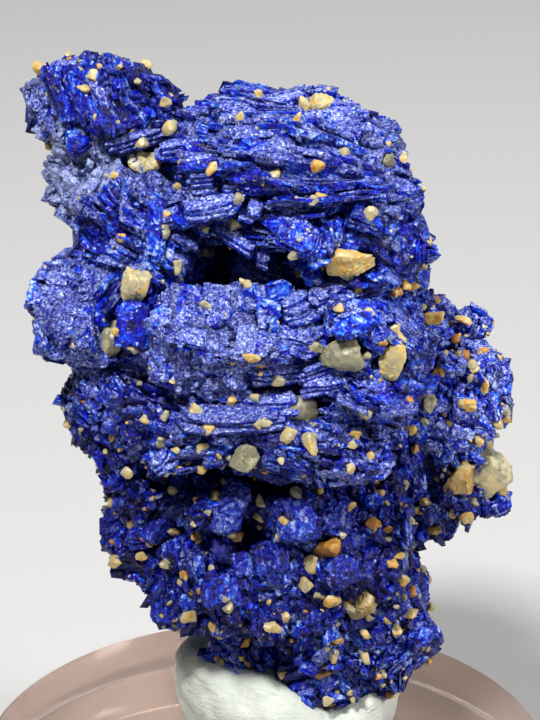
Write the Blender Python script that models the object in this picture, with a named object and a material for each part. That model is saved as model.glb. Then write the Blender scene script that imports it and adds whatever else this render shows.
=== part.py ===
"""Azurite specimen: a cluster of tabular azurite crystals with quartz sand caught in it.

Its foot is pressed into a lump of white putty, which sticks to a clear round.
The origin is the centre of the round's underside. +Z is up, and -Y is the specimen's face.
"""

import math
import random

import bmesh
import bpy
from mathutils import Matrix, Vector
from mathutils.bvhtree import BVHTree

MM = 0.001
SEAT_GAP = 0.3 * MM  # between the round, the putty and the azurite
GRAIN_GAP = 0.15 * MM  # between a quartz grain and its socket

# The clear round, in metres.
ROUND_RADIUS = 12.7 * MM
ROUND_HEIGHT = 6.35 * MM
ROUND_CHAMFER = 0.4 * MM
ROUND_SIDES = 40

# The putty lump, in mm: it is higher on its left, where it was pushed up against the azurite.
PUTTY_CENTRE = (0.6, 0.2)
PUTTY_HALF = (5.2, 4.8)
PUTTY_HEIGHT = 4.7
PUTTY_RISE = 0.16  # height gained for each mm to the left
PUTTY_FOOT = 0.86  # size of its flat underside, as a share of its widest ring
PUTTY_SIDES = 22
PUTTY_RINGS = 6
PUTTY_GRIP = 12.5  # height up to which the putty is shaped by the azurite, in mm

# Each book is a stack of parallel crystal plates in an egg-shaped envelope. Lengths are in mm and
# angles in degrees: centre, plate normal, direction of the plates' length, half length, half width,
# half thickness of the stack, number of plates, and the angle over which the stack fans out.
BOOKS = {
    "head": ((1.15, 0.2, 33.8), (0.03, -0.12, 1), (1, 0, 0), 5.3, 4.4, 2.4, 8, 18),
    "right_shoulder": ((3.9, -0.4, 30.9), (0.5, -0.3, 0.8), (0.6, -0.2, -0.7), 2.9, 4.0, 2.4, 5, 22),
    "left_shoulder": ((-5.0, -0.2, 31.3), (0.55, -0.2, 0.8), (0.8, -0.1, -0.6), 3.2, 3.6, 2.4, 6, 14),
    "ear": ((-6.6, 2.1, 35.5), (0.97, -0.2, -0.12), (-0.2, 0, 1), 2.3, 2.6, 3.1, 7, 36),
    "ear_root": ((-6.6, 1.4, 32.5), (-0.5, -0.6, 0.6), (0.25, 0.1, 0.9), 2.6, 2.3, 2.0, 4, 10),
    "left_lobe": ((-7.1, -1.6, 27.9), (-0.35, -0.8, 0.45), (0.1, 0.3, 1), 2.8, 2.4, 2.6, 5, 18),
    "left_inner": ((-5.0, -2.6, 28.6), (0.9, -0.35, 0.1), (0.1, 0, 1), 2.5, 1.7, 1.4, 4, 20),
    "left_belly": ((-5.8, -1.9, 24.2), (0.4, -0.5, 0.75), (-0.7, 0.2, 0.6), 2.7, 2.7, 2.0, 4, 20),
    "breast": ((-1.8, -3.2, 27.2), (-0.1, -0.7, 0.72), (1, 0, 0.1), 3.9, 2.5, 2.6, 5, 18),
    "breast_right": ((3.7, -2.8, 27.0), (0.25, -0.45, 0.9), (0.9, 0, -0.35), 3.3, 3.1, 2.3, 5, 22),
    "belt": ((0.6, -2.3, 24.0), (0.05, -0.25, 1), (1, 0, -0.12), 6.3, 4.3, 1.6, 4, 12),
    "right_wing": ((7.0, 3.2, 22.9), (0.75, 0.1, 0.65), (-0.45, 0, 0.9), 4.2, 3.6, 2.5, 4, 26),
    "waist": ((-0.9, 0.4, 20.2), (0.1, -0.1, 1), (1, 0, -0.05), 6.4, 4.8, 1.6, 3, 8),
    "body": ((0.0, 0.2, 17.4), (0.0, -0.1, 1), (1, 0, 0), 6.9, 5.3, 3.5, 5, -14),
    "foot": ((2.1, 0.3, 12.5), (0.45, -0.1, 1), (1, 0, -0.4), 4.9, 4.0, 2.8, 5, 18),
    "back_upper": ((0.8, 4.2, 31.4), (0.2, 0.9, 0.35), (0.9, -0.1, -0.3), 4.7, 4.1, 2.9, 3, 22),
    "back_middle": ((-2.6, 4.6, 25.4), (-0.3, 0.8, 0.5), (0.4, -0.1, 0.9), 4.6, 4.4, 2.9, 3, 24),
    "back_lower": ((1.8, 3.8, 18.0), (0.3, 0.75, -0.35), (0.9, -0.2, 0.2), 4.6, 4.2, 2.7, 3, 20),
}
PLATE_CORNERS = 8
PLATE_OVERLAP = 1.3  # a plate's thickness over the spacing, so that the plates grow together
PLATE_EDGE = 0.12  # how far a plate's upper edge is cut back, as a share of its size
EGG_POWER = 2.6  # 2 is an ellipsoid, and more is boxier

# Blocky crystals grow over these eggs, in mm: centre, half sizes, crystal size, crystal count.
DRUSES = {
    "right_wing": ((7.9, 3.2, 21.8), (2.3, 3.0, 4.1), 1.4, 14),
    "right_tail": ((8.0, 2.7, 18.6), (2.4, 2.5, 2.1), 1.3, 8),
    "right_neck": ((5.2, 2.4, 28.2), (1.9, 2.6, 2.8), 1.2, 8),
    "right_root": ((5.0, 2.2, 20.0), (2.6, 3.0, 3.2), 1.3, 5),
    "right_cheek": ((4.5, -0.2, 31.0), (2.3, 3.8, 3.0), 1.3, 10),
    "body": ((0.4, 0.0, 17.4), (6.0, 4.8, 4.0), 1.9, 14),
    "foot": ((3.0, 0.2, 13.8), (4.3, 3.6, 3.2), 1.6, 9),
    "left_belly": ((-5.6, -1.7, 23.8), (2.0, 2.4, 2.3), 1.3, 8),
    "back": ((0.2, 4.3, 25.0), (5.0, 3.6, 8.2), 2.4, 8),
}
GOLDEN_TURN = math.pi * (3 - math.sqrt(5))

# The largest quartz grains, in mm: a point near the azurite's skin, where the grain is seated at the
# nearest place on it, and the grain's half sizes.
GRAINS = {
    "quartz_grain_right_tip": ((9.9, 1.4, 18.9), (0.85, 0.75, 0.95)),
    "quartz_grain_right_tip_small": ((8.4, 0.3, 19.4), (0.5, 0.45, 0.6)),
    "quartz_grain_shoulder": ((3.5, -4.1, 30.9), (1.0, 0.5, 0.5)),
    "quartz_grain_left_upper": ((-5.1, -4.2, 29.9), (0.55, 0.5, 0.8)),
    "quartz_grain_left_lower": ((-5.9, -3.9, 27.8), (0.45, 0.4, 0.7)),
    "quartz_grain_middle": ((3.1, -4.9, 27.8), (0.95, 0.6, 0.7)),
    "quartz_grain_middle_right": ((5.1, -5.1, 26.9), (0.6, 0.5, 0.8)),
    "quartz_grain_belt": ((1.7, -4.8, 25.2), (0.75, 0.5, 0.6)),
    "quartz_grain_waist": ((-0.8, -5.6, 23.2), (0.65, 0.5, 0.55)),
    "quartz_grain_foot": ((4.4, -4.0, 15.4), (0.55, 0.5, 0.75)),
    "quartz_grain_body": ((2.6, -4.1, 18.3), (0.5, 0.4, 0.4)),
    "quartz_grain_crown": ((2.2, 1.0, 36.4), (0.6, 0.5, 0.4)),
    "quartz_grain_crown_left": ((-4.4, -0.3, 34.3), (0.65, 0.5, 0.5)),
    "quartz_grain_back": ((-1.5, 9.0, 27.0), (0.8, 0.6, 0.7)),
    "quartz_grain_back_low": ((3.2, 8.0, 17.0), (0.6, 0.5, 0.6)),
}
GRAIN_POINTS = 13
GRAIN_SINK = 0.35  # how deep a grain sits, as a share of its half thickness


def clear_scene():
    for item in list(bpy.data.objects):
        bpy.data.objects.remove(item)


def material(name, colour, roughness, transmission=0.0):
    made = bpy.data.materials.new(name)
    made.use_nodes = True
    shader = made.node_tree.nodes["Principled BSDF"]
    shader.inputs["Base Color"].default_value = (*colour, 1.0)
    shader.inputs["Roughness"].default_value = roughness
    shader.inputs["Transmission Weight"].default_value = transmission
    return made


def add_object(name, builder, finish=None):
    """A new object from a bmesh, which is freed."""
    mesh = bpy.data.meshes.new(name)
    builder.to_mesh(mesh)
    builder.free()
    if finish:
        mesh.materials.append(finish)
    made = bpy.data.objects.new(name, mesh)
    bpy.context.scene.collection.objects.link(made)
    return made


def facing(normal, along):
    """Rotation whose Z is the normal and whose X is as near as can be to along."""
    z = Vector(normal).normalized()
    x = Vector(along)
    x = (x - z * x.dot(z)).normalized()
    return Matrix((x, z.cross(x), z)).transposed()


def add_rings(builder, rings):
    """A closed skin through rings of equal length, the first and the last capped."""
    loops = [[builder.verts.new(point) for point in ring] for ring in rings]
    builder.faces.new(list(reversed(loops[0])))
    builder.faces.new(loops[-1])
    count = len(loops[0])
    for below, above in zip(loops, loops[1:]):
        for i in range(count):
            j = (i + 1) % count
            builder.faces.new((below[i], below[j], above[j], above[i]))


def plate_outline(rng, half_length, half_width):
    """Corners of a crystal plate: a box with blunt ends, its sides a little uneven."""
    corners = []
    for i in range(PLATE_CORNERS):
        angle = math.tau * (i + rng.uniform(-0.22, 0.22)) / PLATE_CORNERS
        boxy = (abs(math.cos(angle)) ** 3 + abs(math.sin(angle)) ** 3) ** (-1 / 3)
        reach = boxy * rng.uniform(0.88, 1.04)
        corner = (half_length * reach * math.cos(angle), half_width * reach * math.sin(angle))
        corners.append(corner)
    return corners


def add_book(builder, name, spec):
    """The plates of one book, stacked along its normal inside its envelope."""
    centre, normal, along, half_length, half_width, half_stack, count, fan = spec
    rng = random.Random(name)
    frame = facing(normal, along)
    spacing = 2 * half_stack / count
    half = spacing * PLATE_OVERLAP / 2
    for i in range(count):
        share = (2 * i + 1) / count - 1
        reach = (1 - abs(share) ** EGG_POWER) ** (1 / EGG_POWER) * rng.uniform(0.9, 1.06)
        turned = frame @ Matrix.Rotation(math.radians(fan / 2) * share, 3, "Y")
        slide = (rng.uniform(-0.05, 0.05) * half_length, rng.uniform(-0.06, 0.06) * half_width)
        middle = Vector(centre) + frame @ Vector((*slide, share * half_stack))
        outline = plate_outline(rng, half_length * reach, half_width * reach)
        steps = ((-half, 1.0), (half * 0.4, 1.0), (half, 1 - PLATE_EDGE))
        add_rings(builder, [
            [(middle + turned @ Vector((x * size, y * size, z))) * MM for x, y in outline]
            for z, size in steps
        ])


def add_druse(builder, name, spec):
    """A rounded rock with blocky crystals over it, each leaning its own way and half sunk in it."""
    centre, half_sizes, size, count = spec
    rng = random.Random("druse " + name)
    scale = Matrix.Diagonal(Vector(half_sizes) * MM)
    place = Matrix.Translation(Vector(centre) * MM) @ scale.to_4x4()
    bmesh.ops.create_icosphere(builder, subdivisions=2, radius=1.0, matrix=place)
    for i in range(count):
        height = 1 - (2 * i + 1) / count
        ring = math.sqrt(1 - height * height)
        outward = Vector((ring * math.cos(GOLDEN_TURN * i), ring * math.sin(GOLDEN_TURN * i), height))
        root = place @ outward
        lean = outward + Vector([rng.uniform(-0.5, 0.5) for _ in range(3)])
        frame = facing(lean, [rng.uniform(-1, 1) for _ in range(3)])
        long = size * rng.uniform(0.45, 0.75) * MM
        wide = size * rng.uniform(0.3, 0.5) * MM
        tall = size * rng.uniform(0.45, 0.75) * MM
        outline = [(long, 0), (long * 0.6, wide), (-long * 0.6, wide)]
        outline += [(-x, -y) for x, y in outline]
        add_rings(builder, [
            [root + frame @ Vector((x * step, y * step, z)) for x, y in outline]
            for z, step in ((-tall * 1.6, 1.0), (tall * 0.7, 0.78))
        ])


def boolean(target, operation, other, self_crossing=False):
    modifier = target.modifiers.new(operation.lower(), "BOOLEAN")
    modifier.operation = operation
    modifier.object = other
    modifier.solver = "EXACT"
    modifier.use_self = self_crossing
    other.hide_render = True
    other.display_type = "WIRE"


def settled(target):
    """Applies the object's modifiers, and keeps only its largest closed skin."""
    graph = bpy.context.evaluated_depsgraph_get()
    builder = bmesh.new()
    builder.from_object(target, graph)
    target.modifiers.clear()
    bmesh.ops.remove_doubles(builder, verts=builder.verts, dist=0.002 * MM)
    skins = []
    waiting = set(builder.faces)
    while waiting:
        skin = {waiting.pop()}
        edge_of_skin = list(skin)
        while edge_of_skin:
            face = edge_of_skin.pop()
            near = {other for edge in face.edges for other in edge.link_faces} & waiting
            waiting -= near
            skin |= near
            edge_of_skin += near
        skins.append(skin)
    largest = max(skins, key=len)
    spare = [face for face in builder.faces if face not in largest]
    bmesh.ops.delete(builder, geom=spare, context="FACES")
    builder.to_mesh(target.data)
    builder.free()


def azurite_cluster(finish):
    """All the books and druses, grown together into one solid."""
    books = bmesh.new()
    for name, spec in BOOKS.items():
        add_book(books, name, spec)
    druses = bmesh.new()
    for name, spec in DRUSES.items():
        add_druse(druses, name, spec)
    cluster = add_object("azurite_cluster", books, finish)
    overgrowth = add_object("overgrowth", druses)
    boolean(cluster, "UNION", overgrowth, self_crossing=True)
    settled(cluster)
    bpy.data.objects.remove(overgrowth)
    return cluster


def add_hull(builder, points):
    verts = [builder.verts.new(point) for point in points]
    result = bmesh.ops.convex_hull(builder, input=verts)
    spare = [item for item in result["geom_interior"] if isinstance(item, bmesh.types.BMVert)]
    bmesh.ops.delete(builder, geom=spare, context="VERTS")


def grain_points(name, half_sizes, grow):
    """Corners of one rounded, broken grain, its half sizes grown by a margin."""
    rng = random.Random(name)
    points = []
    for i in range(GRAIN_POINTS):
        height = 1 - (2 * i + 1) / GRAIN_POINTS
        ring = math.sqrt(1 - height * height)
        turn = GOLDEN_TURN * i + rng.uniform(-0.35, 0.35)
        out = Vector((ring * math.cos(turn), ring * math.sin(turn), height)) * rng.uniform(0.85, 1.1)
        points.append(Vector([o * (half * MM + grow) for o, half in zip(out, half_sizes)]))
    return points


def quartz_grains(cluster, finish):
    """Seats each large grain in the azurite, in a socket of its own shape."""
    tree = BVHTree.FromPolygons(
        [vert.co for vert in cluster.data.vertices],
        [face.vertices for face in cluster.data.polygons],
    )
    sockets = bmesh.new()
    for name, (near, half_sizes) in GRAINS.items():
        seat, outward = tree.find_nearest(Vector(near) * MM)[:2]
        depth = sum(abs(o) * half for o, half in zip(outward, half_sizes)) * MM
        centre = seat - outward * depth * GRAIN_SINK
        grain = bmesh.new()
        add_hull(grain, grain_points(name, half_sizes, 0))
        made = add_object(name, grain, finish)
        made.location = centre
        add_hull(sockets, [centre + point for point in grain_points(name, half_sizes, GRAIN_GAP)])
    cutter = add_object("sockets", sockets)
    boolean(cluster, "DIFFERENCE", cutter, self_crossing=True)
    settled(cluster)
    bpy.data.objects.remove(cutter)


def putty(cluster, finish):
    """A pressed lump between the round and the azurite's foot, which it grips with a gap."""
    base = ROUND_HEIGHT + SEAT_GAP
    rings = []
    for ring in range(PUTTY_RINGS):
        share = ring / (PUTTY_RINGS - 1)
        bulge = PUTTY_FOOT + (1 - PUTTY_FOOT) * math.sin(math.pi * min(share * 1.15, 1.0))
        points = []
        for side in range(PUTTY_SIDES):
            angle = math.tau * side / PUTTY_SIDES
            wave = 1 + 0.035 * math.sin(3 * angle + 1) + 0.02 * math.sin(5 * angle + 4 * share)
            x = PUTTY_CENTRE[0] + PUTTY_HALF[0] * bulge * wave * math.cos(angle)
            y = PUTTY_CENTRE[1] + PUTTY_HALF[1] * bulge * wave * math.sin(angle)
            top = PUTTY_HEIGHT - PUTTY_RISE * x + 0.25 * math.sin(2 * angle + 0.6)
            points.append(Vector((x * MM, y * MM, base + top * share * MM)))
        rings.append(points)
    builder = bmesh.new()
    add_rings(builder, rings)
    lump = add_object("putty", builder, finish)

    grip = bmesh.new()
    low = [vert.co for vert in cluster.data.vertices if vert.co.z < PUTTY_GRIP * MM]
    middle = sum(low, Vector()) / len(low)
    add_hull(grip, [point + (point - middle).normalized() * SEAT_GAP * 1.4 for point in low])
    cutter = add_object("grip", grip)
    boolean(lump, "DIFFERENCE", cutter)
    settled(lump)
    bpy.data.objects.remove(cutter)


def display_round(finish):
    """The clear round under it all, its two rims lightly chamfered."""
    inner = ROUND_RADIUS - ROUND_CHAMFER
    profile = (
        (inner, 0),
        (ROUND_RADIUS, ROUND_CHAMFER),
        (ROUND_RADIUS, ROUND_HEIGHT - ROUND_CHAMFER),
        (inner, ROUND_HEIGHT),
    )
    builder = bmesh.new()
    turns = [math.tau * side / ROUND_SIDES for side in range(ROUND_SIDES)]
    add_rings(builder, [
        [Vector((radius * math.cos(turn), radius * math.sin(turn), z)) for turn in turns]
        for radius, z in profile
    ])
    made = add_object("display_round", builder, finish)
    made.data.shade_smooth()
    made.data.set_sharp_from_angle(angle=math.radians(30))


def main():
    clear_scene()
    cluster = azurite_cluster(material("azurite", (0.03, 0.05, 0.42), 0.45))
    quartz_grains(cluster, material("quartz", (0.62, 0.5, 0.28), 0.3, transmission=0.4))
    putty(cluster, material("putty", (0.74, 0.78, 0.7), 0.75))
    display_round(material("clear_acrylic", (1.0, 0.96, 0.93), 0.03, transmission=1.0))


main()
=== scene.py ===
"""Looks of the azurite specimen: layered blue crystals, quartz sand, putty and a clear round.

Every crystal is real mesh. A rough core lies under bricks in the layers of each book, scales along
the smoother lobes, loose blocks and druse, and the single crystals of the face. Sand grains sit on
the surface that results.
"""
import math

import bmesh
import bpy
import numpy as np
from mathutils import Matrix, Vector
from mathutils.bvhtree import BVHTree


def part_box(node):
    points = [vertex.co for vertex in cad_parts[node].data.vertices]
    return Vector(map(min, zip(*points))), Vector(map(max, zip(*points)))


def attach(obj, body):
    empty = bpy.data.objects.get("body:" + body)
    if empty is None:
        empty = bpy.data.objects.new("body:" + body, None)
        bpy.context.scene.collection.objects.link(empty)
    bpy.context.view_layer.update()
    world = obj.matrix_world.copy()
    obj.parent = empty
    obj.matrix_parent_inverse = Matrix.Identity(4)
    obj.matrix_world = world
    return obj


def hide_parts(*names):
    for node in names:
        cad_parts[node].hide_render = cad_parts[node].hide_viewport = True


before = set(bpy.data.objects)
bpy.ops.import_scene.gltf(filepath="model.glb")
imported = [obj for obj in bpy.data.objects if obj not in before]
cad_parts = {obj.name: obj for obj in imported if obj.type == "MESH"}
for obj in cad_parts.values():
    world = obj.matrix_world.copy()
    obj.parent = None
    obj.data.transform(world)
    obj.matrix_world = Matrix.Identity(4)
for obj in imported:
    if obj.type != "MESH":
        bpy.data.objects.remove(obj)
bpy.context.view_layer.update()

MM = 0.001
TAU = math.tau
AZURITE_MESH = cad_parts["azurite_cluster"].data
LARGE_GRAINS = sorted(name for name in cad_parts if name.startswith("quartz_grain"))

# The camera looks at the specimen's face from slightly above. Lengths are in mm.
CAMERA_AIM = Vector((0.2, 0.0, 25.15))
CAMERA_DISTANCE = 113.4
CAMERA_RISE = math.radians(22)
CAMERA_LENS = 135

# Books of slabs, which fill the solid: centre, normal of the slabs, direction of their length,
# half length, half width and half thickness of the stack, in mm, and the angle of the fan in
# degrees. Then the crystal habit: thickness of a layer and length of a brick in mm, disorder in
# degrees, how frosted the faces are, how thickly loose crystals cover the book, how much of it is
# scales that lie along its surface, and how bright its blue is. That brightness is partly the
# blue's own tone and partly painted shade and light: the lower body's books are drawn darker as
# painted shade, and the wing brighter as painted light.
BOOKS = {
    "head": (
        (1.1, 0.2, 33.6), (0.06, 0.2, 1), (1, 0, -0.05), 5.3, 4.3, 2.5, 12,
        0.42, 1.1, 4, 0.85, 0.1, 0.0, 1,
    ),
    "right_shoulder": (
        (3.9, -0.4, 30.9), (0.45, 0.1, 0.9), (0.8, -0.2, -0.5), 2.8, 3.8, 2.4, 22,
        0.3, 0.5, 8, 0.35, 0.7, 0.0, 1,
    ),
    "left_shoulder": (
        (-5.0, -0.2, 31.3), (0.6, 0.1, 0.8), (0.8, -0.1, -0.6), 3.1, 3.4, 2.4, 14,
        0.32, 0.6, 7, 0.75, 0.4, 0.0, 1,
    ),
    "ear": (
        (-6.6, 2.1, 35.5), (0.95, -0.15, 0.3), (-0.3, 0.2, 1), 2.3, 2.5, 3.0, 30,
        0.42, 0.7, 2, 0.4, 0.3, 0.1, 0.65,
    ),
    "ear_root": (
        (-7.4, 0.4, 33.0), (-0.5, -0.6, 0.6), (0.25, 0.1, 0.9), 2.9, 2.6, 2.3, 10,
        0.3, 0.5, 5, 1.4, 0.1, 0.9, 1.1,
    ),
    "left_lobe": (
        (-7.0, -1.5, 27.9), (-0.35, -0.8, 0.45), (0.1, 0.3, 1), 2.8, 2.3, 2.5, 18,
        0.34, 0.8, 4, 0.9, 0.05, 0.85, 1,
    ),
    "left_inner": (
        (-5.0, -2.6, 28.6), (0.9, -0.35, 0.1), (0.1, 0, 1), 2.4, 1.6, 1.3, 20,
        0.4, 1.1, 4, 0.15, 0.2, 0.0, 0.9,
    ),
    "left_belly": (
        (-5.8, -1.9, 24.2), (0.4, -0.5, 0.75), (-0.7, 0.2, 0.6), 2.6, 2.6, 2.0, 20,
        0.3, 0.45, 12, 0.4, 0.8, 0.3, 0.9,
    ),
    "breast": (
        (-1.8, -3.1, 27.2), (-0.1, -0.7, 0.72), (1, 0, 0.1), 3.8, 2.5, 2.6, 18,
        0.34, 0.8, 4, 0.85, 0.0, 0.7, 1,
    ),
    "breast_right": (
        (3.7, -2.8, 27.0), (0.25, -0.2, 0.95), (0.9, 0, -0.3), 3.2, 3.0, 2.3, 22,
        0.32, 0.7, 6, 0.55, 0.3, 0.1, 0.95,
    ),
    "belt": (
        (0.6, -2.3, 24.0), (0.22, 0.1, 1), (1, 0, -0.22), 6.2, 4.2, 1.7, 12,
        0.32, 0.7, 6, 0.75, 0.4, 0.0, 0.8,
    ),
    "right_wing": (
        (7.0, 3.2, 22.9), (0.75, 0.1, 0.65), (-0.45, 0, 0.9), 4.0, 3.4, 2.3, 26,
        0.34, 0.3, 22, 0.95, 1.0, 0.3, 1.6,
    ),
    "waist": (
        (-0.9, 0.4, 20.2), (-0.5, -0.5, 0.7), (1, 0, 0.7), 5.0, 4.6, 3.0, 8,
        0.4, 0.5, 16, 0.15, 0.9, 0.0, 0.33,
    ),
    "body": (
        (0.0, 0.2, 17.4), (0.9, -0.3, 0.3), (-0.3, 0, 1), 3.6, 5.2, 6.8, 10,
        0.5, 0.6, 16, 0.1, 1.0, 0.0, 0.35,
    ),
    "foot": (
        (2.1, 0.3, 12.5), (0.6, -0.5, 0.6), (1, 0, -0.9), 4.0, 3.9, 3.4, 18,
        0.5, 0.45, 24, 0.3, 1.0, 0.0, 0.75,
    ),
    "back_upper": (
        (0.8, 4.2, 31.4), (0.2, 0.9, 0.35), (0.9, -0.1, -0.3), 4.6, 4.0, 2.8, 22,
        0.4, 0.8, 6, 0.6, 0.4, 0.3, 0.9,
    ),
    "back_middle": (
        (-2.6, 4.6, 25.4), (-0.3, 0.8, 0.5), (0.4, -0.1, 0.9), 4.5, 4.3, 2.8, 24,
        0.4, 0.8, 6, 0.6, 0.5, 0.4, 0.9,
    ),
    "back_lower": (
        (1.8, 3.8, 18.0), (0.3, 0.75, -0.35), (0.9, -0.2, 0.2), 4.5, 4.1, 2.6, 20,
        0.4, 0.6, 8, 0.3, 0.8, 0.0, 0.7,
    ),
}
WARP = ((4.0, 0.24), (2.2, 0.12), (1.1, 0.06))  # wavelength and size of the bends in the slabs, in mm

PHOTO_MIDDLE = (270, 360)  # of its 540 x 720 pixels, where the camera's aim is
PHOTO_PIXEL = 0.042  # its size in mm where the azurite stands
READ_TO = 1  # digits after the point, in mm, to which what is read from the photo is rounded


def size_of(*pixels):
    """Lengths in mm of lengths in pixels of the photo."""
    return tuple(round(float(length) * PHOTO_PIXEL, READ_TO) + 0.0 for length in pixels)


def at_pixel(x, y):
    """Right of and above the camera's aim, in mm, where a pixel of the photo is."""
    return size_of(x - PHOTO_MIDDLE[0], PHOTO_MIDDLE[1] - y)


# Pits and undercuts of the face, in mm in the camera's own plane: middle right of and above its
# aim, half width and half height, and how far the face is moved right, up and toward the camera.
PITS = (
    (at_pixel(205, 464), (1.4, 0.5), (0, 0, -1.8)),
    (at_pixel(262, 480), (1.6, 0.6), (0, 0, -1.9)),
    (at_pixel(310, 478), size_of(26, 10), (0, 0, -0.9)),
    (at_pixel(252, 528), size_of(14, 22), (0, 0, -1.9)),
    (at_pixel(162, 472), size_of(9, 15), (0, 0, -1.3)),
    ((-5.5, -7.7), (0.5, 0.3), (0, 0, -0.7)),
    ((-3.4, -8.9), (0.7, 0.4), (0, 0, -0.8)),
    ((3.4, -5.6), (0.7, 0.3), (0, 0, -0.8)),
    (at_pixel(275, 377), size_of(34, 9), (0, 0, -1.1)),
    ((-1.3, 5.6), (1.8, 1.0), (0, 0, -0.9)),
    ((-0.8, 4.3), (2.0, 0.6), (0, 0, 1.3)),
    (at_pixel(115, 487), size_of(9, 7), (0, 0, -0.6)),
    (at_pixel(305, 552), size_of(20, 8), (0, 0, -0.7)),
    ((-6.1, -9.9), (1.3, 1.2), (1.0, 0.2, 0)),
    ((-2.8, -12.5), (1.3, 0.9), (-1.1, -0.2, 0.2)),
    ((-4.4, 12.6), (1.1, 0.9), (0.15, -0.8, 0)),
    ((-4.0, 11.3), (0.8, 0.5), (0.5, 0, 0)),
    ((-0.4, 12.2), (2.6, 1.0), (0, -0.55, 0)),
    ((6.2, 8.9), (0.7, 1.0), (-0.2, -0.4, 0)),
    ((6.8, 7.6), (0.8, 0.6), (-0.7, 0, 0)),
    ((-6.5, 13.4), (1.1, 0.7), (0, -0.4, 0)),
    ((-10.5, 12.0), (0.6, 0.7), (0.3, -0.4, 0)),
    ((-8.9, 5.2), (0.9, 0.7), (0.8, -0.3, 0)),
    ((7.1, 5.9), (0.8, 0.8), (-0.7, 0, 0)),
    ((6.4, -14.0), (1.5, 0.9), (-1.3, 0.4, 0)),
    ((3.0, -14.3), (1.2, 0.7), (0.6, -0.6, 0)),
    ((7.0, -7.6), (0.8, 0.5), (-0.9, 0, 0)),
    ((8.6, -6.4), (0.9, 0.5), (0.3, -0.4, 0)),
    ((-10.6, 10.1), (0.7, 0.5), (0.7, 0.2, 0)),
    ((-9.1, 6.7), (0.6, 0.6), (0.4, 0, 0)),
    ((-5.6, -9.2), (0.8, 0.6), (0.6, 0, 0)),
    (at_pixel(385, 418), size_of(34, 5), (0, -0.1, -0.6)),
    (at_pixel(258, 424), size_of(22, 7), (0, 0, -0.6)),
)

# Where the face is more weathered than the rest of its book, in mm in the camera's own plane:
# middle right of and above its aim, half width and half height, and how much more frosted it is.
WEATHERED = (
    ((-8.2, 8.0), (1.5, 1.6), 1.6),
    ((-9.8, 11.0), (0.8, 1.8), 1.4),
    ((-8.4, 12.9), (1.3, 0.5), 0.5),
    ((-7.4, 9.8), (0.6, 0.4), -0.5),
    ((-6.9, 6.0), (0.6, 0.8), 0.4),
    ((8.2, 1.5), (1.5, 1.6), 0.1),
    ((8.6, -0.6), (1.5, 2.2), 0.1),
    ((-1.6, 1.2), (2.6, 1.4), 0.3),
    ((2.4, 10.3), (1.8, 0.7), 0.5),
    ((4.8, 8.6), (0.9, 1.2), 0.5),
    ((1.5, -0.6), (2.5, 0.8), 0.5),
    ((-4.2, -7.5), (2.5, 3.0), -0.3),
)

# How far toward the camera from its aim a place has to lie for these tables to reach it, in mm.
PUSHED_FROM = -5.0
PUSHED_OVER = 3.0  # from there, the depth over which pits and undercuts grow to their whole size
WEATHERED_FROM = -4.0
PIT_SHADE_FROM = -3.0
DEEP_PIT = 1.6  # depth of a pit whose middle gets the whole painted shade, in mm

GRAIN_PIT_MARGIN = 0.2
GRAIN_PIT_DEPTH = 0.4
TIP_PIT_DEPTH = 0.9  # round the large grains at the tip of the wing

WAVE_COUNT = 10
WAVE_TOTAL = 2.2  # about the highest sum of that many waves


# ---- Places and fields ----

def unit(vectors):
    return vectors / np.linalg.norm(vectors, axis=-1, keepdims=True)


def facing(normals, along):
    """Frames whose third column is the normal and whose first is as near as can be to along."""
    z = unit(np.asarray(normals, float))
    x = np.asarray(along, float)
    x = unit(x - z * np.sum(x * z, axis=-1, keepdims=True))
    return np.stack([x, np.cross(z, x), z], axis=-1)


CAMERA_FRAME = facing([(0, -math.cos(CAMERA_RISE), math.sin(CAMERA_RISE))], [(1, 0, 0)])[0]
EYE = np.array(CAMERA_AIM) + CAMERA_FRAME[:, 2] * CAMERA_DISTANCE


def seen_at(points):
    """How far right of, above and toward the camera from its aim each point lies, in mm."""
    return (points - CAMERA_AIM) @ CAMERA_FRAME


def oval_distance(seen, middle, half):
    """Squared distance of places in the camera's plane from a middle, in half sizes."""
    return np.sum(((seen[:, :2] - middle) / half) ** 2, axis=1)


def box_of(name):
    """Middle and half size of a node's box, in mm."""
    low, high = (np.array(corner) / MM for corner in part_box(name))
    return (low + high) / 2, (high - low) / 2


def waves(points, wavelength, seed):
    """A smooth vector field, about -1 to 1, that changes over the wavelength."""
    rng = np.random.default_rng(seed)
    total = np.zeros_like(points)
    for _ in range(WAVE_COUNT):
        wave = unit(rng.normal(size=3)) * TAU / (wavelength * rng.uniform(0.7, 1.5))
        push = unit(rng.normal(size=3))
        total += np.sin(points @ wave + rng.uniform(0, TAU))[:, None] * push
    return total / WAVE_TOTAL


def grain_pit(name):
    """A shallow pit round a large grain, as a row of the pits."""
    middle, half = box_of(name)
    half = (half[0] + GRAIN_PIT_MARGIN, half[2] + GRAIN_PIT_MARGIN)
    depth = TIP_PIT_DEPTH if "tip" in name else GRAIN_PIT_DEPTH
    return seen_at(middle)[:2], half, (0, 0, -depth)


GRAIN_PITS = tuple(grain_pit(name) for name in LARGE_GRAINS)


def warped(points):
    """Points after the books' bends, and after the pits and undercuts of the face."""
    for seed, (wavelength, size) in enumerate(WARP):
        points = points + waves(points, wavelength, seed) * size
    seen = seen_at(points)
    front = ((seen[:, 2:] - PUSHED_FROM) / PUSHED_OVER).clip(0, 1)
    moved = np.zeros_like(seen)
    for middle, half, push in PITS + GRAIN_PITS:
        moved += np.exp(-oval_distance(seen, middle, half))[:, None] * front * push
    return points + moved @ CAMERA_FRAME.T


def weathering(points):
    """How much more frosted than the rest of its book each point is."""
    seen = seen_at(points)
    total = np.zeros(len(points))
    for middle, half, extra in WEATHERED:
        total += np.exp(-oval_distance(seen, middle, half) ** 2) * extra
    return total * (seen[:, 2] > WEATHERED_FROM)


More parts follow.
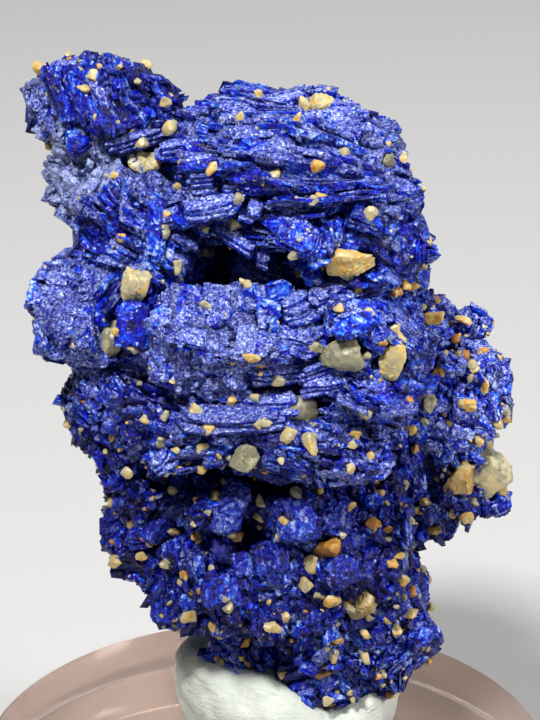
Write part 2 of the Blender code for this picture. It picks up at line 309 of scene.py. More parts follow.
def pit_shade(points):
    """How deep in the face's pits each point lies, 0 to 1: how much painted shade it gets."""
    seen = seen_at(points)
    total = np.zeros(len(points))
    for middle, half, push in PITS:
        total += np.exp(-oval_distance(seen, middle, half)) * max(-push[2], 0) / DEEP_PIT
    return total.clip(0, 1) * (seen[:, 2] > PIT_SHADE_FROM)


WORD = 2 ** 32
PRIMES = (374761393, 2246822519, 3266489917)


def hashed(seed, *keys):
    """A random number from 0 to 1 for each set of whole-number keys."""
    total = np.full(np.broadcast(*keys).shape, seed * PRIMES[0] % WORD, np.uint64)
    for key in keys:
        total = (total ^ np.asarray(key).astype(np.int64).astype(np.uint64)) * np.uint64(PRIMES[1])
        total = total % np.uint64(WORD)
        total = (total ^ (total >> np.uint64(15))) * np.uint64(PRIMES[2]) % np.uint64(WORD)
    return total.astype(float) / WORD


class Books:
    """The table's columns as arrays, one row for each book."""

    def __init__(self):
        rows = list(BOOKS.values())
        self.centre = np.array([row[0] for row in rows], float)
        self.base = facing([row[1] for row in rows], [row[2] for row in rows])
        self.size = np.array([row[3:6] for row in rows], float)
        self.fan = np.radians([row[6] for row in rows]) / 2 / self.size[:, 2]
        columns = np.array([row[7:14] for row in rows], float).T
        self.layer, self.brick, disorder, self.frost, self.loose, self.scaly, self.bright = columns
        self.disorder = np.radians(disorder)

    def nearest(self, points):
        """The book that each point lies deepest in."""
        own = np.einsum("npj,njk->npk", points[None] - self.centre[:, None], self.base)
        return np.linalg.norm(own / self.size[:, None], axis=2).argmin(axis=0)

    def layered(self, points, book):
        """Places in a book as x, y and the height of the fanned layer that each point lies in."""
        own = np.einsum("pj,pjk->pk", points - self.centre[book], self.base[book])
        own[:, 2] /= 1 - self.fan[book] * own[:, 0]
        return own

    def unlayered(self, own, book):
        """The points at such places."""
        own = own.copy()
        own[:, 2] *= 1 - self.fan[book] * own[:, 0]
        return self.centre[book] + np.einsum("pjk,pk->pj", self.base[book], own)

    def frosting(self, points, book):
        return (self.frost[book] + weathering(points)).clip(0)

    def frames(self, height, book):
        """The crystal's axes in a layer at this height."""
        turn = self.fan[book] * height
        zero, one = np.zeros_like(turn), np.ones_like(turn)
        cos, sin = np.cos(turn), np.sin(turn)
        spin = np.stack([cos, zero, sin, zero, one, zero, -sin, zero, cos], axis=1).reshape(-1, 3, 3)
        return self.base[book] @ spin


books = Books()


# ---- Meshes ----

def vectors(items, name):
    """A vector property of all the items, as an array with a row for each."""
    values = np.empty(len(items) * 3, np.float32)
    items.foreach_get(name, values)
    return values.reshape(-1, 3).astype(float)


def numbers(items, name, width=1):
    """A whole-number property of all the items, as a flat array."""
    values = np.empty(len(items) * width, np.int32)
    items.foreach_get(name, values)
    return values


def placed(name, data):
    """A new object in the scene."""
    made = bpy.data.objects.new(name, data)
    bpy.context.scene.collection.objects.link(made)
    return made


def side_quads(sides):
    """Corner numbers of the faces between a ring of points and the next one."""
    ring = np.arange(sides)
    following = (ring + 1) % sides
    return np.stack([ring, following, following + sides, ring + sides], axis=1)


def ringed(name, points, sides, finish):
    """A smooth object of rings of points, in metres, with a face across its first and last ring."""
    ring = np.arange(sides)
    last = len(points) - sides
    faces = [ring[::-1].tolist()]
    for first in range(0, last, sides):
        faces += (side_quads(sides) + first).tolist()
    faces.append((ring + last).tolist())
    mesh = bpy.data.meshes.new(name)
    mesh.from_pydata(points.tolist(), [], faces)
    mesh.shade_smooth()
    mesh.materials.append(finish)
    return placed(name, mesh)


def finished(mesh, points, values, finish):
    """An object of the mesh, with its values on faces and its places in the books on points."""
    for key, value in values.items():
        layer = mesh.attributes.new(key, "FLOAT", "FACE")
        layer.data.foreach_set("value", value.astype(np.float32))
    layer = mesh.attributes.new("local", "FLOAT_VECTOR", "POINT")
    own = books.layered(points, books.nearest(points))
    layer.data.foreach_set("vector", own.astype(np.float32).ravel())
    mesh.materials.clear()
    mesh.materials.append(finish)
    return placed(mesh.name, mesh)


class Skin:
    """Gathers crystals as arrays, in mm, and makes them one mesh with values on its faces."""

    def __init__(self):
        self.points = []
        self.corners = []
        self.sizes = []
        self.values = {"frost": [], "tint": [], "shade": []}
        self.count = 0

    def add(self, faces, frost, tint, shade):
        """Faces are an array of corner numbers, all with as many corners."""
        self.corners.append((faces + self.count).ravel())
        self.sizes.append(np.full(len(faces), faces.shape[1]))
        for key, value in (("frost", frost), ("tint", tint), ("shade", shade)):
            self.values[key].append(np.broadcast_to(value, len(faces)))

    def close(self, points):
        """Ends a group of faces, and gives the points that they share."""
        self.points.append(points)
        self.count += len(points)

    def object(self, name, finish, bent=True):
        """The object, with the bends and pits of the books unless its places have them already."""
        mesh = bpy.data.meshes.new(name)
        points = np.concatenate(self.points)
        corners = np.concatenate(self.corners)
        sizes = np.concatenate(self.sizes)
        mesh.vertices.add(len(points))
        mesh.vertices.foreach_set("co", ((warped(points) if bent else points) * MM).ravel())
        mesh.loops.add(len(corners))
        mesh.loops.foreach_set("vertex_index", corners.astype(np.int32))
        mesh.polygons.add(len(sizes))
        starts = np.concatenate([[0], np.cumsum(sizes)[:-1]])
        mesh.polygons.foreach_set("loop_start", starts.astype(np.int32))
        mesh.update(calc_edges=True)
        values = {key: np.concatenate(value) for key, value in self.values.items()}
        return finished(mesh, points, values, finish)


def add_prisms(skin, centres, frames, outlines, low, high, bevel, frost, tint, shade):
    """Many prisms at once, all with as many sides, their upper edges cut by a bevel in mm.

    Frost has three values for each prism: for its top, its sides and its edges.
    """
    count, sides = outlines.shape[:2]
    levels = [(low, np.ones(count)), (high - bevel, np.ones(count))]
    if bevel:
        reach = np.linalg.norm(outlines, axis=2).mean(axis=1)
        levels.append((high, 1 - bevel / reach))
    rings = []
    for level, size in levels:
        flat = outlines * size[:, None, None]
        tall = np.broadcast_to(level[:, None, None], (count, sides, 1))
        rings.append(np.concatenate([flat, tall], axis=2))
    local = np.concatenate(rings, axis=1)
    points = centres[:, None] + np.einsum("nij,npj->npi", frames, local)
    first = np.arange(count)[:, None] * len(rings) * sides
    ring = np.arange(sides)
    # Painted shade: the underside is drawn darker than the rest.
    skin.add(first + ring[::-1], frost[:, 1], tint, shade * UNDERSIDE_SHADE)
    for number in range(len(rings) - 1):
        quads = (first[:, :, None] + side_quads(sides) + number * sides).reshape(-1, 4)
        values = (frost[:, 1 + number], tint, shade)
        skin.add(quads, *(np.repeat(value, sides) for value in values))
    skin.add(first + ring + (len(rings) - 1) * sides, frost[:, 0], tint, shade)
    skin.close(points.reshape(-1, 3))


# ---- Crystals of the azurite ----

PROUD = 0.03  # how far crystals may stand out of the solid, in mm
FARTHEST = 0.55  # how far a crystal may be moved in before it is left out, in mm
GRAIN_CLEARANCE = 0.3  # between the middle of a crystal and a large grain, in mm
GRAIN_SIGHT = 3.0  # no crystals lie this near in front of a large grain, in mm

# Samples are how many places on the solid are tried. Lengths are half a usual crystal's, and roots
# are how deep it is set in the solid, in mm.
BRICK_SAMPLES = 11500
BRICK_BEVEL = 0.02
RAGGED = math.radians(5)  # layers of books with less disorder than this end more evenly
FLAT = 0.82  # where the outward direction is this near a layer's normal, its flat side shows
SCALE_SAMPLES = 9000
SCALE_SIDES = 8
SCALE_LENGTH = 0.27
SCALE_ROOT = 0.25
SCALE_BEVEL = 0.035
BLOCK_SAMPLES = 2000
BLOCK_LAYERS = 4
BLOCK_LENGTH = 0.36
BLOCK_ROOT = 0.1
DRUSE_SAMPLES = 15000
DRUSE_LENGTH = 0.145
DRUSE_ROOT = 0.22
DRUSE_FROST = 0.15  # more than the frost of its book
CORE_VOXEL = 0.2
CORE_DEPTH = 0.33  # of its lowest bricks under the solid's surface, in mm
CORE_STEP = 0.3  # from its lowest bricks to its highest, in mm
CORE_PIT_SHADE = 0.7  # painted shade: share of its brightness that the core loses in the deepest pits
CRYSTAL_PIT_SHADE = 0.4  # painted shade: and that the crystals over it lose
UNDERSIDE_SHADE = 0.5  # painted shade: brightness of a crystal's underside, for the rest of it


def ragged(rng, count, sides):
    """Outlines of radius about 1 with uneven corners."""
    turns = (np.arange(sides) + rng.uniform(-0.3, 0.3, (count, sides))) / sides * TAU
    reach = rng.uniform(0.78, 1.12, (count, sides))
    return np.stack([np.cos(turns) * reach, np.sin(turns) * reach], axis=2)


def brick_shapes(rng, long, deep):
    """Six-sided outlines: rectangles with their outer corners broken off."""
    cut = rng.uniform(0.45, 1.0, (len(long), 4))
    across = np.stack([-long, long, long, long * cut[:, 0], -long * cut[:, 1], -long], axis=1)
    out = np.stack([-deep, -deep, deep * cut[:, 2], deep, deep * rng.uniform(0.75, 1.1, len(long)),
                    deep * cut[:, 3]], axis=1)
    return np.stack([across, out], axis=2)


def face_values(rng, frost, count):
    """How frosted the top, sides and edges of crystals are."""
    top = frost * rng.uniform(0.3, 1.4, count)
    frosted_sides = 0.3 + (frost - 1).clip(0, 0.7)
    side = np.where(rng.uniform(size=count) < frosted_sides, frost * 0.8, 0.0)
    return np.stack([top, side, top * 0.7 + 0.15], axis=1)


def shades(rng, points, book):
    """Brightness of crystals: most as bright as their book, some darker, painted shade in pits."""
    count = len(book)
    patch = waves(points, 1.6, 55)[:, 0] * 0.7 + rng.normal(0, 0.3, count)
    bright = books.bright[book] * (1 - CRYSTAL_PIT_SHADE * pit_shade(points))
    dark = rng.uniform(0.05, 0.25, count)
    full = rng.uniform(0.6, 1.0, count) * bright.clip(1, 1.4)
    return np.where(patch < 1.1 * (1 - bright) - 0.4, dark, full)


def looks(rng, points, book, extra=0.0):
    """Frost, tint and shade of crystals that are looser than the layers of their books."""
    values = face_values(rng, books.frosting(points, book) + extra, len(points))
    tint = rng.uniform(size=len(points))
    return values, tint, shades(rng, points, book)


def clear_of_grains(points):
    """Whether each point is well outside every large quartz grain, and not in front of it."""
    clear = np.ones(len(points), bool)
    for name in LARGE_GRAINS:
        middle, half = box_of(name)
        half += GRAIN_CLEARANCE
        clear &= np.linalg.norm((points - middle) / half, axis=1) > 1
        seen = (points - middle) @ CAMERA_FRAME
        over = np.linalg.norm(seen[:, :2] / (half[0], half[2]), axis=1) < 1
        clear &= ~(over & (seen[:, 2] > 0) & (seen[:, 2] < GRAIN_SIGHT))
    return clear


def settled(centres, frames, outlines, high, outward):
    """Centres moved in where corners would stand out of the solid, and which crystals to keep."""
    tree = BVHTree.FromPolygons(
        [vert.co / MM for vert in AZURITE_MESH.vertices],
        [face.vertices[:] for face in AZURITE_MESH.polygons],
    )
    count, sides = outlines.shape[:2]
    local = np.concatenate([outlines, np.broadcast_to(high[:, None, None], (count, sides, 1))], axis=2)
    corners = centres[:, None] + np.einsum("nij,npj->npi", frames, local)
    excess = np.empty((count, sides))
    for corner in range(sides):
        for number, point in enumerate(corners[:, corner]):
            near, normal, _, distance = tree.find_nearest(point)
            inside = (Vector(point) - near).dot(normal) < 0
            excess[number, corner] = -distance if inside else distance
    back = (excess.max(axis=1) - PROUD).clip(0)
    return centres - outward * back[:, None], (back < FARTHEST) & clear_of_grains(centres)


def surface_samples(rng, count):
    """Random places on the azurite's solid, in mm, spread by area, and each one's outward direction."""
    AZURITE_MESH.calc_loop_triangles()
    corners = numbers(AZURITE_MESH.loop_triangles, "vertices", 3).reshape(-1, 3)
    triangles = vectors(AZURITE_MESH.vertices, "co")[corners] / MM
    across = np.cross(triangles[:, 1] - triangles[:, 0], triangles[:, 2] - triangles[:, 0])
    area = np.linalg.norm(across, axis=1)
    pick = rng.choice(len(triangles), count, p=area / area.sum())
    share = rng.uniform(size=(count, 2))
    share = np.where(share.sum(axis=1, keepdims=True) > 1, 1 - share, share)
    chosen = triangles[pick]
    points = chosen[:, 0] + (chosen[:, 1] - chosen[:, 0]) * share[:, :1]
    points += (chosen[:, 2] - chosen[:, 0]) * share[:, 1:]
    return points, across[pick] / area[pick][:, None]


def scattered(rng, count, keep):
    """Places, outward directions and books of the samples that keep(luck, book) allows."""
    points, outward = surface_samples(rng, count)
    book = books.nearest(points)
    kept = keep(rng.uniform(size=count), book)
    return points[kept], outward[kept], book[kept]


def brick_places(rng, outward, book, own, level, spread):
    """Middles, frames, outlines and heights of bricks that end the layers of their books."""
    count = len(book)
    layer = books.layer[book]
    disorder = books.disorder[book]
    own[:, 2] = (level + 0.5 + rng.normal(0, 0.05, count)) * layer
    axes = books.frames(own[:, 2], book)
    away = np.einsum("pjk,pj->pk", axes, outward)
    flat = np.abs(away[:, 2]) > FLAT
    square = np.arctan2(away[:, 1], away[:, 0])
    square = np.round(square / (math.pi / 2)) * (math.pi / 2) + rng.normal(0, 0.03 + disorder)
    out = np.stack([np.cos(square), np.sin(square), np.zeros(count)], axis=1)
    upper = np.where(away[:, 2] > -0.3, 1.0, -1.0)
    long = books.brick[book] * 0.5 * np.exp(rng.normal(0, 0.6, count)).clip(0.35, 1.9)
    deep = np.where(flat, long * rng.uniform(0.5, 0.9, count), rng.uniform(0.2, 0.4, count))
    step = (spread - 0.5) * 0.4 * np.minimum(disorder / RAGGED, 1) + rng.normal(0, 0.06, count)
    own += out * np.where(flat, 0, step - deep)[:, None]
    middle = books.unlayered(own, book)
    half = layer * 0.5
    tall = np.where(flat, 0.2, half * rng.uniform(0.7, 1.5, count))
    normal = np.stack([np.zeros(count), np.zeros(count), upper], axis=1)
    normal += rng.normal(size=(count, 3)) * (0.01 + disorder[:, None] * 0.4)
    tangent = np.stack([-out[:, 1], out[:, 0], np.zeros(count)], axis=1) * upper[:, None]
    frames = axes @ facing(normal, tangent)
    middle += frames[:, :, 2] * half[:, None] * rng.uniform(0.2, 0.9, (count, 1))
    return middle, frames, brick_shapes(rng, long, deep), tall


def azurite_bricks(finish):
    """Bricks in the layers of each book, set square to its crystal axes."""
    rng = np.random.default_rng(11)
    points, outward, book = scattered(
        rng, BRICK_SAMPLES, lambda luck, book: luck > books.scaly[book]
    )
    count = len(points)
    own = books.layered(points, book)
    level = np.floor(own[:, 2] / books.layer[book])
    spread = hashed(3, book, level)
    middle, frames, shapes, tall = brick_places(rng, outward, book, own, level, spread)
    middle, kept = settled(middle, frames, shapes, np.zeros(count), outward)
    values = face_values(rng, books.frosting(points, book), count)
    tint = (spread * 0.5 + rng.uniform(0, 0.5, count)) % 1
    shade = shades(rng, points, book)
    made = []
    for number, part in enumerate(np.array_split(np.flatnonzero(kept), 2)):
        skin = Skin()
        add_prisms(skin, middle[part], frames[part], shapes[part], -tall[part], 0 * tall[part],
                   BRICK_BEVEL, values[part], tint[part], shade[part])
        made.append(skin.object("azurite_bricks_%d" % (number + 1), finish))
    return made


def azurite_scales(finish):
    """Rounded scales that overlap along the surface of the smoother, frosted lobes."""
    rng = np.random.default_rng(17)
    points, outward, book = scattered(
        rng, SCALE_SAMPLES, lambda luck, book: luck < books.scaly[book]
    )
    count = len(points)
    lean = waves(points, 2.2, 33) * 0.22 + rng.normal(0, 0.09, (count, 3))
    frames = facing(unit(outward) + lean, waves(points, 3.0, 34))
    long = SCALE_LENGTH * np.exp(rng.normal(0, 0.4, count))
    shapes = ragged(rng, count, SCALE_SIDES)
    shapes *= np.stack([long, long * rng.uniform(0.5, 0.95, count)], axis=1)[:, None]
    tall = rng.uniform(0.0, 0.14, count)
    points, kept = settled(points, frames, shapes, tall, outward)
    skin = Skin()
    add_prisms(skin, points[kept], frames[kept], shapes[kept], np.full(kept.sum(), -SCALE_ROOT),
               tall[kept], SCALE_BEVEL, *looks(rng, points[kept], book[kept]))
    return skin.object("azurite_scales", finish)


def azurite_blocks(finish):
    """Short stacks of slabs, each set its own way, where the rock is blocky."""
    rng = np.random.default_rng(43)
    points, outward, book = scattered(
        rng, BLOCK_SAMPLES, lambda luck, book: luck < books.loose[book] ** 2
    )
    count = len(points)
    normal = rng.normal(size=(count, 3)) * [1.0, 0.7, 0.5]
    frames = facing(normal, unit(outward) + rng.normal(0, 0.3, (count, 3)))
    size = BLOCK_LENGTH * np.exp(rng.normal(0, 0.3, count))
    wide = size * rng.uniform(0.7, 1.1, count)
    thick = size * rng.uniform(0.2, 0.45, count)
    tint = rng.uniform(size=count)
    shade = shades(rng, points, book)
    shapes = brick_shapes(rng, size, wide)
    points, kept = settled(points, frames, shapes, thick * 2, outward)
    skin = Skin()
    for layer in range(BLOCK_LAYERS):
        long = size * rng.uniform(0.8, 1.05, count)
        shapes = brick_shapes(rng, long, wide * rng.uniform(0.8, 1.05, count))
        slide = rng.normal(0, 0.08, (count, 3)) * size[:, None]
        slide[:, 2] = (layer - (BLOCK_LAYERS - 1) / 2) * thick
        centres = points - outward * BLOCK_ROOT + np.einsum("nij,nj->ni", frames, slide)
        top = thick * rng.uniform(0.35, 0.48, count)
        values = face_values(rng, books.frosting(points, book), count)
        add_prisms(skin, centres[kept], frames[kept], shapes[kept], -thick[kept] * 0.48, top[kept], 0,
                   values[kept], (tint[kept] + layer * 0.05) % 1, shade[kept])
    return skin.object("azurite_blocks", finish)


def azurite_druse(finish):
    """Loose blocky crystals, thick on the granular books and thin elsewhere."""
    rng = np.random.default_rng(41)
    points, outward, book = scattered(
        rng, DRUSE_SAMPLES, lambda luck, book: luck < books.loose[book] ** 1.3
    )
    clear = clear_of_grains(points)
    points, outward, book = points[clear], outward[clear], book[clear]
    count = len(points)
    lean = unit(outward + rng.normal(0, 0.5, (count, 3)))
    frames = facing(lean, rng.normal(size=(count, 3)))
    size = DRUSE_LENGTH * np.exp(rng.normal(0, 0.35, count))
    shapes = brick_shapes(rng, size, size * rng.uniform(0.6, 1.0, count))
    tall = size * rng.uniform(0.3, 1.3, count)
    skin = Skin()
    add_prisms(skin, points - outward * DRUSE_ROOT, frames, shapes, -size, tall, 0,
               *looks(rng, points, book, DRUSE_FROST))
    return skin.object("azurite_druse", finish)


def core_mesh():
    """The solid's form as a mesh of small even faces."""
    rough = placed("rough", AZURITE_MESH)
    remesh = rough.modifiers.new("remesh", "REMESH")
    remesh.mode = "VOXEL"
    remesh.voxel_size = CORE_VOXEL * MM
    graph = bpy.context.evaluated_depsgraph_get()
    mesh = bpy.data.meshes.new_from_object(rough.evaluated_get(graph))
    mesh.name = "azurite_core"
    bpy.data.objects.remove(rough)
    return mesh


def core_values(mesh, step):
    """Values on the core's faces, from the books and from how far out the brick at each stands."""
    middles = vectors(mesh.polygons, "center") / MM
    book = books.nearest(middles)
    level = np.floor(books.layered(middles, book)[:, 2] / books.layer[book])
    along = np.abs(np.sum(vectors(mesh.polygons, "normal") * books.base[book][:, :, 2], axis=1))
    along = np.maximum(along, books.scaly[book])
    corner = numbers(mesh.loops, "vertex_index")[numbers(mesh.polygons, "loop_start")]
    # Painted shade: the lower a face's brick lies, the darker the face is drawn, so the gaps between
    # crystals look dark; faces in pits are darker still.
    shade = (step[corner] * 1.3 - 0.1).clip(0.06, 0.9) * books.bright[book]
    shade *= 1 - CORE_PIT_SHADE * pit_shade(middles)
    return {
        "frost": books.frosting(middles, book) * along,
        "tint": hashed(9, book, level),
        "shade": shade,
    }


def azurite_core(finish):
    """The rough rock under the loose crystals: the solid's form, broken into small bricks."""
    mesh = core_mesh()
    spots = vectors(mesh.vertices, "co") / MM
    normals = vectors(mesh.vertices, "normal")
    book = books.nearest(spots)
    own = books.layered(spots + waves(spots, 1.2, 8) * 0.08, book)
    level = np.floor(own[:, 2] / books.layer[book])
    brick = books.brick[book] * 0.7
    cell_x = np.floor(own[:, 0] / brick + hashed(5, book, level) * 7)
    cell_y = np.floor(own[:, 1] / brick + hashed(6, book, level) * 7)
    step = hashed(7, book, level, cell_x, cell_y)
    loose = books.loose[book][:, None]
    bumps = waves(spots, 0.6, 7)[:, :1] * (0.04 + 0.06 * loose)
    bumps += waves(spots, 1.5, 6)[:, :1] * 0.12 * loose
    steps = CORE_STEP * step[:, None] * (1 - 0.5 * loose)
    spots = spots + normals * (-CORE_DEPTH + steps + bumps)
    values = core_values(mesh, step)
    mesh.vertices.foreach_set("co", (warped(spots) * MM).ravel())
    mesh.update()
    return finished(mesh, spots, values, finish)


# ---- Single crystals of the face ----

# Crystals that stand out on the face, in mm in the camera's own plane: middle right of and
# above its aim, half length, half width, turn in degrees, facing (right, up and toward the camera),
# how far it stands out of what lies round it, how frosted it is, and its tint.
FACE_CRYSTALS = (
    (-0.7, 4.5, 0.6, 0.3, 20, (0.2, 0.6, 0.75), 1.8, 0.6, 0.3),
    (-1.7, 4.3, 0.5, 0.3, -30, (-0.4, 0.4, 0.8), 1.5, 0.2, 0.2),
    (0.3, 4.4, 0.5, 0.4, -15, (0.4, 0.3, 0.85), 2.0, 0.1, 0.5),
    (-2.4, 4.7, 0.5, 0.3, 60, (0.5, 0.2, 0.85), 1.2, 0.1, 0.6),
    (-8.8, 11.2, 1.2, 0.2, -66, (0.6, 0, 0.8), 0.5, 0.0, 0.3),
    (-8.3, 11.1, 1.4, 0.25, -66, (-0.5, 0, 0.85), 0.5, 0.1, 0.2),
    (-7.8, 10.9, 1.4, 0.25, -64, (-0.4, 0, 0.9), 0.6, 0.0, 0.35),
    (-7.3, 10.6, 1.4, 0.25, -62, (-0.5, 0, 0.85), 0.5, 0.3, 0.3),
    (-6.9, 10.7, 1.3, 0.2, -62, (0.5, 0, 0.85), 0.4, 0.9, 0.3),
    (-9.6, 11.3, 0.4, 0.3, -60, (-0.5, 0.2, 0.85), 0.1, 0.9, 0.4),
    (-9.9, 10.8, 0.4, 0.3, -40, (-0.3, 0.1, 0.9), 0.1, 0.8, 0.5),
    (-9.5, 10.4, 0.4, 0.3, -70, (-0.2, 0.4, 0.85), 0.1, 0.9, 0.4),
    (-9.2, 9.9, 0.4, 0.3, -50, (-0.4, 0.1, 0.9), 0.1, 0.7, 0.4),
    (-9.1, 12.0, 0.5, 0.3, -60, (-0.2, 0.3, 0.9), 0.1, 0.8, 0.4),
)
